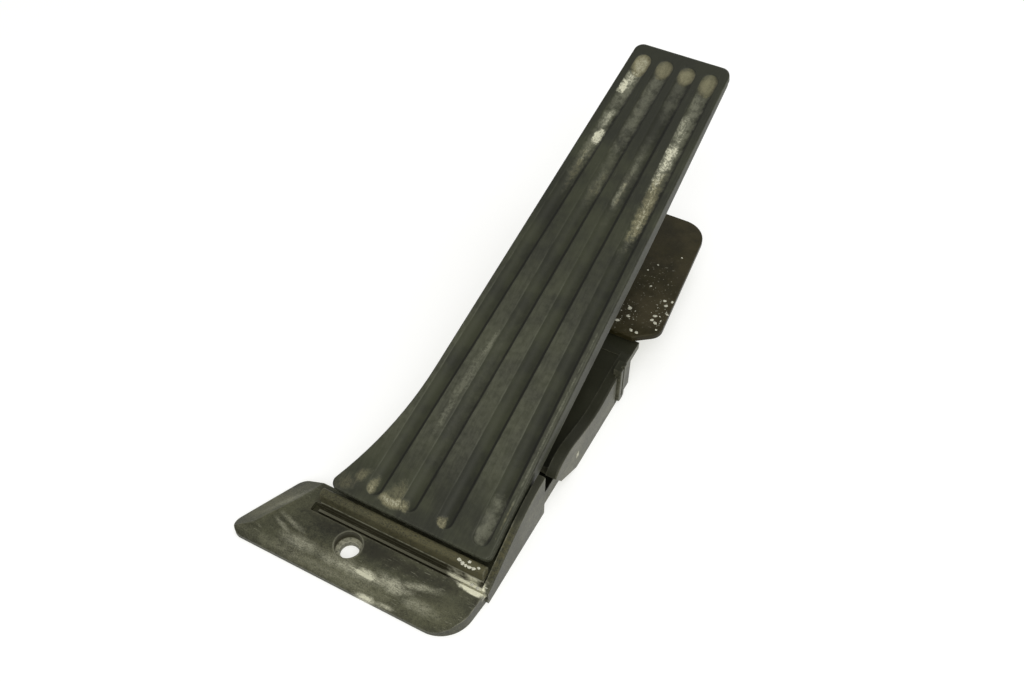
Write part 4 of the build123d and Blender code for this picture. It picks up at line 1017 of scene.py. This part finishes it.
def board_coat(finish):
    """Solder resist over copper tracks"""
    coat = Coat("board_resist", 0.3)
    tree = coat.tree
    inputs = {"Vector": coat.place, "Scale": 0.45, "Mortar Size": 0.05, "Mortar": rgba(finish.copper)}
    inputs.update({"Color1": rgba(finish.board), "Color2": rgba(finish.board, 0.8)})
    cells = placed(tree, "ShaderNodeTexBrick", inputs)
    haze = cloudy(tree, coat.place, 0.4, 3.0, 0.6)
    share = product(tree, haze, 0.2)
    coat.feed("Base Color", blended(tree, share, cells.outputs[0], rgba(finish.copper)))
    coat.feed("Roughness", worked(tree, "ADD", 0.22, share))
    coat.bump(cells.outputs[1], 0.03)
    return coat


def drop_coat(colour):
    """Dried chalky drops"""
    coat = Coat("dried_drops", 0.85, 0.2)
    tree = coat.tree
    chalk = cloudy(tree, coat.place, 1.6, 4.0, 0.7)
    share = ramped(tree, chalk, 0.35, 0.7)
    coat.feed("Base Color", blended(tree, share, rgba(colour, 0.6), rgba(colour)))
    coat.feed("Roughness", worked(tree, "ADD", 0.75, product(tree, chalk, 0.2)))
    coat.bump(chalk, 0.1)
    return coat


def drops_mesh(name, drops, seed):
    """Low uneven domes, each sunk a little into the face that carries it"""
    draw = Random(seed)
    mesh = bpy.data.meshes.new(name)
    form = bmesh.new()
    for x, y, z, radius in drops:
        dome = bmesh.ops.create_icosphere(form, subdivisions=3, radius=1.0)["verts"]
        wide = draw.uniform(*DROP_STRETCH)
        turn = draw.uniform(0, pi)
        shift = Vector((draw.uniform(0, 50), draw.uniform(0, 50), draw.uniform(0, 50)))
        for vert in dome:
            swell = 1 + DROP_SWELL * noise.noise(vert.co * DROP_WAVES + shift)
            across = vert.co.x * swell * wide
            along = vert.co.y * swell / wide
            spot = Vector((
                x + radius * (across * cos(turn) - along * sin(turn)),
                y + radius * (across * sin(turn) + along * cos(turn)),
                z + DROP_RISE * radius * vert.co.z * swell,
            ))
            vert.co = spot * MM
    for face in form.faces:
        face.smooth = True
    form.to_mesh(mesh)
    form.free()
    return linked(name, mesh)


def twisting_spring(node):
    """Copy of a spring with its placing baked into its mesh, in place of the hidden original"""
    original = NODES[node]
    wire = linked(node + "_wire", original.data.copy())
    wire.matrix_world = original.matrix_world.copy()
    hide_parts(node)
    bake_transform(wire)


def seen_directly(tree):
    """1 for rays from the camera, a mirror or clear glass, and 0 for rays that carry light"""
    path = placed(tree, "ShaderNodeLightPath").outputs
    return strongest(tree, [path["Is Camera Ray"], path["Is Glossy Ray"], path["Is Transmission Ray"]])


def floor_piece(stage):
    """Wide pale floor that keeps the part's shadow"""
    mesh = bpy.data.meshes.new("paper_floor")
    form = bmesh.new()
    bmesh.ops.create_grid(form, x_segments=8, y_segments=8, size=FLOOR_HALF)
    form.to_mesh(mesh)
    form.free()
    floor = linked("paper_floor", mesh)
    floor.location = (0, 0, -FLOOR_DROP)
    coat = Coat("floor_paper", 1.0, 0.0)
    tree = coat.tree
    fibre = cloudy(tree, coat.place, 0.02, 3.0, 0.5)
    share = product(tree, fibre, 0.06)
    coat.feed("Base Color", blended(tree, share, rgba(stage.floor), rgba(stage.floor, 0.9)))
    coat.feed("Emission Color", rgba(stage.glow))
    glow = ramped(tree, length(tree, coat.coords["Object"]), *GLOW_REACH, *GLOW_LEVEL)
    coat.feed("Emission Strength", product(tree, seen_directly(tree), glow))
    mesh.materials.append(coat.material)


def room_light(scene, stage):
    """Even pale room light"""
    room = bpy.data.worlds.new("studio_room")
    room.use_nodes = True
    tree = room.node_tree
    back = tree.nodes["Background"]
    back.inputs["Color"].default_value = rgba(ROOM_COLOUR)
    shown = product(tree, seen_directly(tree), 1.0 - stage.sky)
    joined(tree, worked(tree, "ADD", stage.sky, shown), back.inputs["Strength"])
    scene.world = room


def soft_light(name, place, size, power):
    """Square lamp aimed at the middle of the part"""
    lamp = bpy.data.lights.new(name, "AREA")
    lamp.size = size
    lamp.energy = power
    lamp.color = LAMP_COLOUR
    piece = linked(name, lamp)
    low, high = (Vector(corner) for corner in CAD_BOX)
    aim = (low + high) / 2 - Vector(place)
    piece.location = place
    piece.rotation_euler = aim.to_track_quat("-Z", "Y").to_euler()


def photo_camera(stage):
    """Camera that stands where the photo was taken"""
    lens = bpy.data.cameras.new("photo_camera")
    lens.lens = stage.lens
    lens.sensor_width = CAMERA_SENSOR
    lens.clip_start = CAMERA_NEAR
    camera = linked("photo_camera", lens)
    camera.location = CAMERA_PLACE
    camera.rotation_euler = (radians(CAMERA_TILT), 0, radians(CAMERA_TURN))
    return camera


class PEDAL_OT_pad(Operator):
    """Finish the fluted pad and the runway under it"""

    bl_idname = "pedal.pad"
    bl_label = "Pad"

    def execute(self, context):
        settings = context.scene.pedal
        assign(pad_coat(settings.pad), "pedal_pad")
        runway = moulded_coat("runway_plastic", settings.inner.lever, roughness=0.38, grain=0.4)
        assign(runway, "roller_track")
        return {"FINISHED"}


class PEDAL_OT_base(Operator):
    """Finish the base moulding with its foot flap"""

    bl_idname = "pedal.base"
    bl_label = "Base"

    def execute(self, context):
        assign(frame_coat(context.scene.pedal.base), "base_frame")
        return {"FINISHED"}


class PEDAL_OT_lid(Operator):
    """Finish the lid and its screws"""

    bl_idname = "pedal.lid"
    bl_label = "Lid"

    def execute(self, context):
        settings = context.scene.pedal
        assign(lid_coat(settings.lid), "chamber_lid")
        screws = metal_coat("blackened_screws", settings.inner.screws, roughness=0.45, stretch=(1, 1, 0.2))
        assign(screws, "lid_screws")
        return {"FINISHED"}


class PEDAL_OT_drops(Operator):
    """Add the dried pale drops on the foot and the lid"""

    bl_idname = "pedal.drops"
    bl_label = "Dried drops"

    def execute(self, context):
        coat = drop_coat(context.scene.pedal.lid.drops)
        on_lid = [(x, y, LID_TOP, radius) for x, y, radius in LID_DROPS]
        for name, drops, slot, seed in (
            ("foot_drops", FOOT_DROPS, "frame_plastic", 3),
            ("lid_drops", on_lid, "lid_plastic", 5),
        ):
            piece = drops_mesh(name, drops, seed)
            piece.data.materials.append(coat.material)
            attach(piece, "base")
        return {"FINISHED"}


class PEDAL_OT_metal(Operator):
    """Finish the pins, the clips, the shaft and the springs"""

    bl_idname = "pedal.metal"
    bl_label = "Steel parts"

    def execute(self, context):
        steel = context.scene.pedal.inner.steel
        turned = metal_coat("turned_steel", steel, roughness=0.34, stretch=(0.1, 1, 1))
        assign(turned, "hinge_pin", "lever_shaft", "roller_pin")
        spring = metal_coat("spring_steel", toned(steel, 0.8), roughness=0.38, stretch=(1, 1, 1))
        assign(spring, "pin_clips", "left_spring", "right_spring")
        for node, floor_end, lever_end in SPRING_TWIST:
            twisting_spring(node)
        return {"FINISHED"}


class PEDAL_OT_lever(Operator):
    """Finish the lever, its roller and its bearings"""

    bl_idname = "pedal.lever"
    bl_label = "Lever"

    def execute(self, context):
        inner = context.scene.pedal.inner
        lever = moulded_coat("lever_plastic", inner.lever, roughness=0.42, grain=0.5)
        assign(lever, "sensor_lever", "magnet_carrier")
        bearing = moulded_coat("bearing_plastic", inner.pale, roughness=0.4, grain=0.4, spread=0.85)
        assign(bearing, "track_roller", "outer_bush", "inner_bush", "friction_washers")
        return {"FINISHED"}


class PEDAL_OT_rubber(Operator):
    """Finish the seals, the stop and the rest buffer"""

    bl_idname = "pedal.rubber"
    bl_label = "Rubber parts"

    def execute(self, context):
        inner = context.scene.pedal.inner
        rubber = moulded_coat("matt_rubber", inner.rubber, roughness=0.7, grain=0.35, spread=1.5)
        assign(rubber, "lid_seal", "shaft_seal", "stop_bumper", "rest_buffer")
        return {"FINISHED"}


class PEDAL_OT_electrics(Operator):
    """Finish the socket, terminals, board, chips and magnet"""

    bl_idname = "pedal.electrics"
    bl_label = "Electrics"

    def execute(self, context):
        inner = context.scene.pedal.inner
        socket = moulded_coat("socket_plastic", toned(inner.lever, 0.8), roughness=0.38, grain=0.4)
        assign(socket, "connector_socket")
        brass = metal_coat("terminal_brass", inner.brass, roughness=0.28, stretch=(0.1, 1, 1))
        assign(brass, "connector_terminals")
        assign(board_coat(inner), "circuit_board")
        resin = moulded_coat("chip_resin", toned(inner.lever, 0.6), roughness=0.5, grain=0.25)
        assign(resin, "sensor_chips")
        magnet = moulded_coat("sintered_magnet", inner.magnet, roughness=0.55, grain=0.3, spread=1.4)
        assign(magnet, "sensor_magnet")
        return {"FINISHED"}


class PEDAL_OT_stage(Operator):
    """Lay the floor, light it and set the camera"""

    bl_idname = "pedal.stage"
    bl_label = "Stage"

    def execute(self, context):
        scene = context.scene
        stage = scene.pedal.stage
        floor_piece(stage)
        room_light(scene, stage)
        for name, place, size, power in LAMPS:
            soft_light(name, place, size, getattr(stage, power))
        scene.camera = photo_camera(stage)
        scene.view_settings.view_transform = "Standard"
        return {"FINISHED"}


STEPS = (
    PEDAL_OT_pad,
    PEDAL_OT_base,
    PEDAL_OT_lid,
    PEDAL_OT_metal,
    PEDAL_OT_lever,
    PEDAL_OT_rubber,
    PEDAL_OT_electrics,
    PEDAL_OT_drops,
    PEDAL_OT_stage,
)


class PEDAL_PT_steps(Panel):
    """Lists the pedal's pieces and its stage"""

    bl_idname = "PEDAL_PT_steps"
    bl_label = "Accelerator pedal"
    bl_space_type = "VIEW_3D"
    bl_region_type = "UI"
    bl_category = "Pedal"

    def draw(self, context):
        for step in STEPS:
            self.layout.operator(step.bl_idname)


CLASSES = (
    PadFinish,
    FrameFinish,
    LidFinish,
    InnerFinish,
    StageSet,
    PedalSettings,
    *STEPS,
    PEDAL_PT_steps,
)


def register():
    """Registers the classes and hangs the settings on the scene"""
    for item in CLASSES:
        bpy.utils.register_class(item)
    bpy.types.Scene.pedal = PointerProperty(type=PedalSettings)


def unregister():
    """Takes back what register has done"""
    del bpy.types.Scene.pedal
    for item in reversed(CLASSES):
        bpy.utils.unregister_class(item)


def main():
    """Runs every step"""
    register()
    for step in STEPS:
        area, name = step.bl_idname.split(".")
        getattr(getattr(bpy.ops, area), name)()


if __name__ == "__main__":
    main()
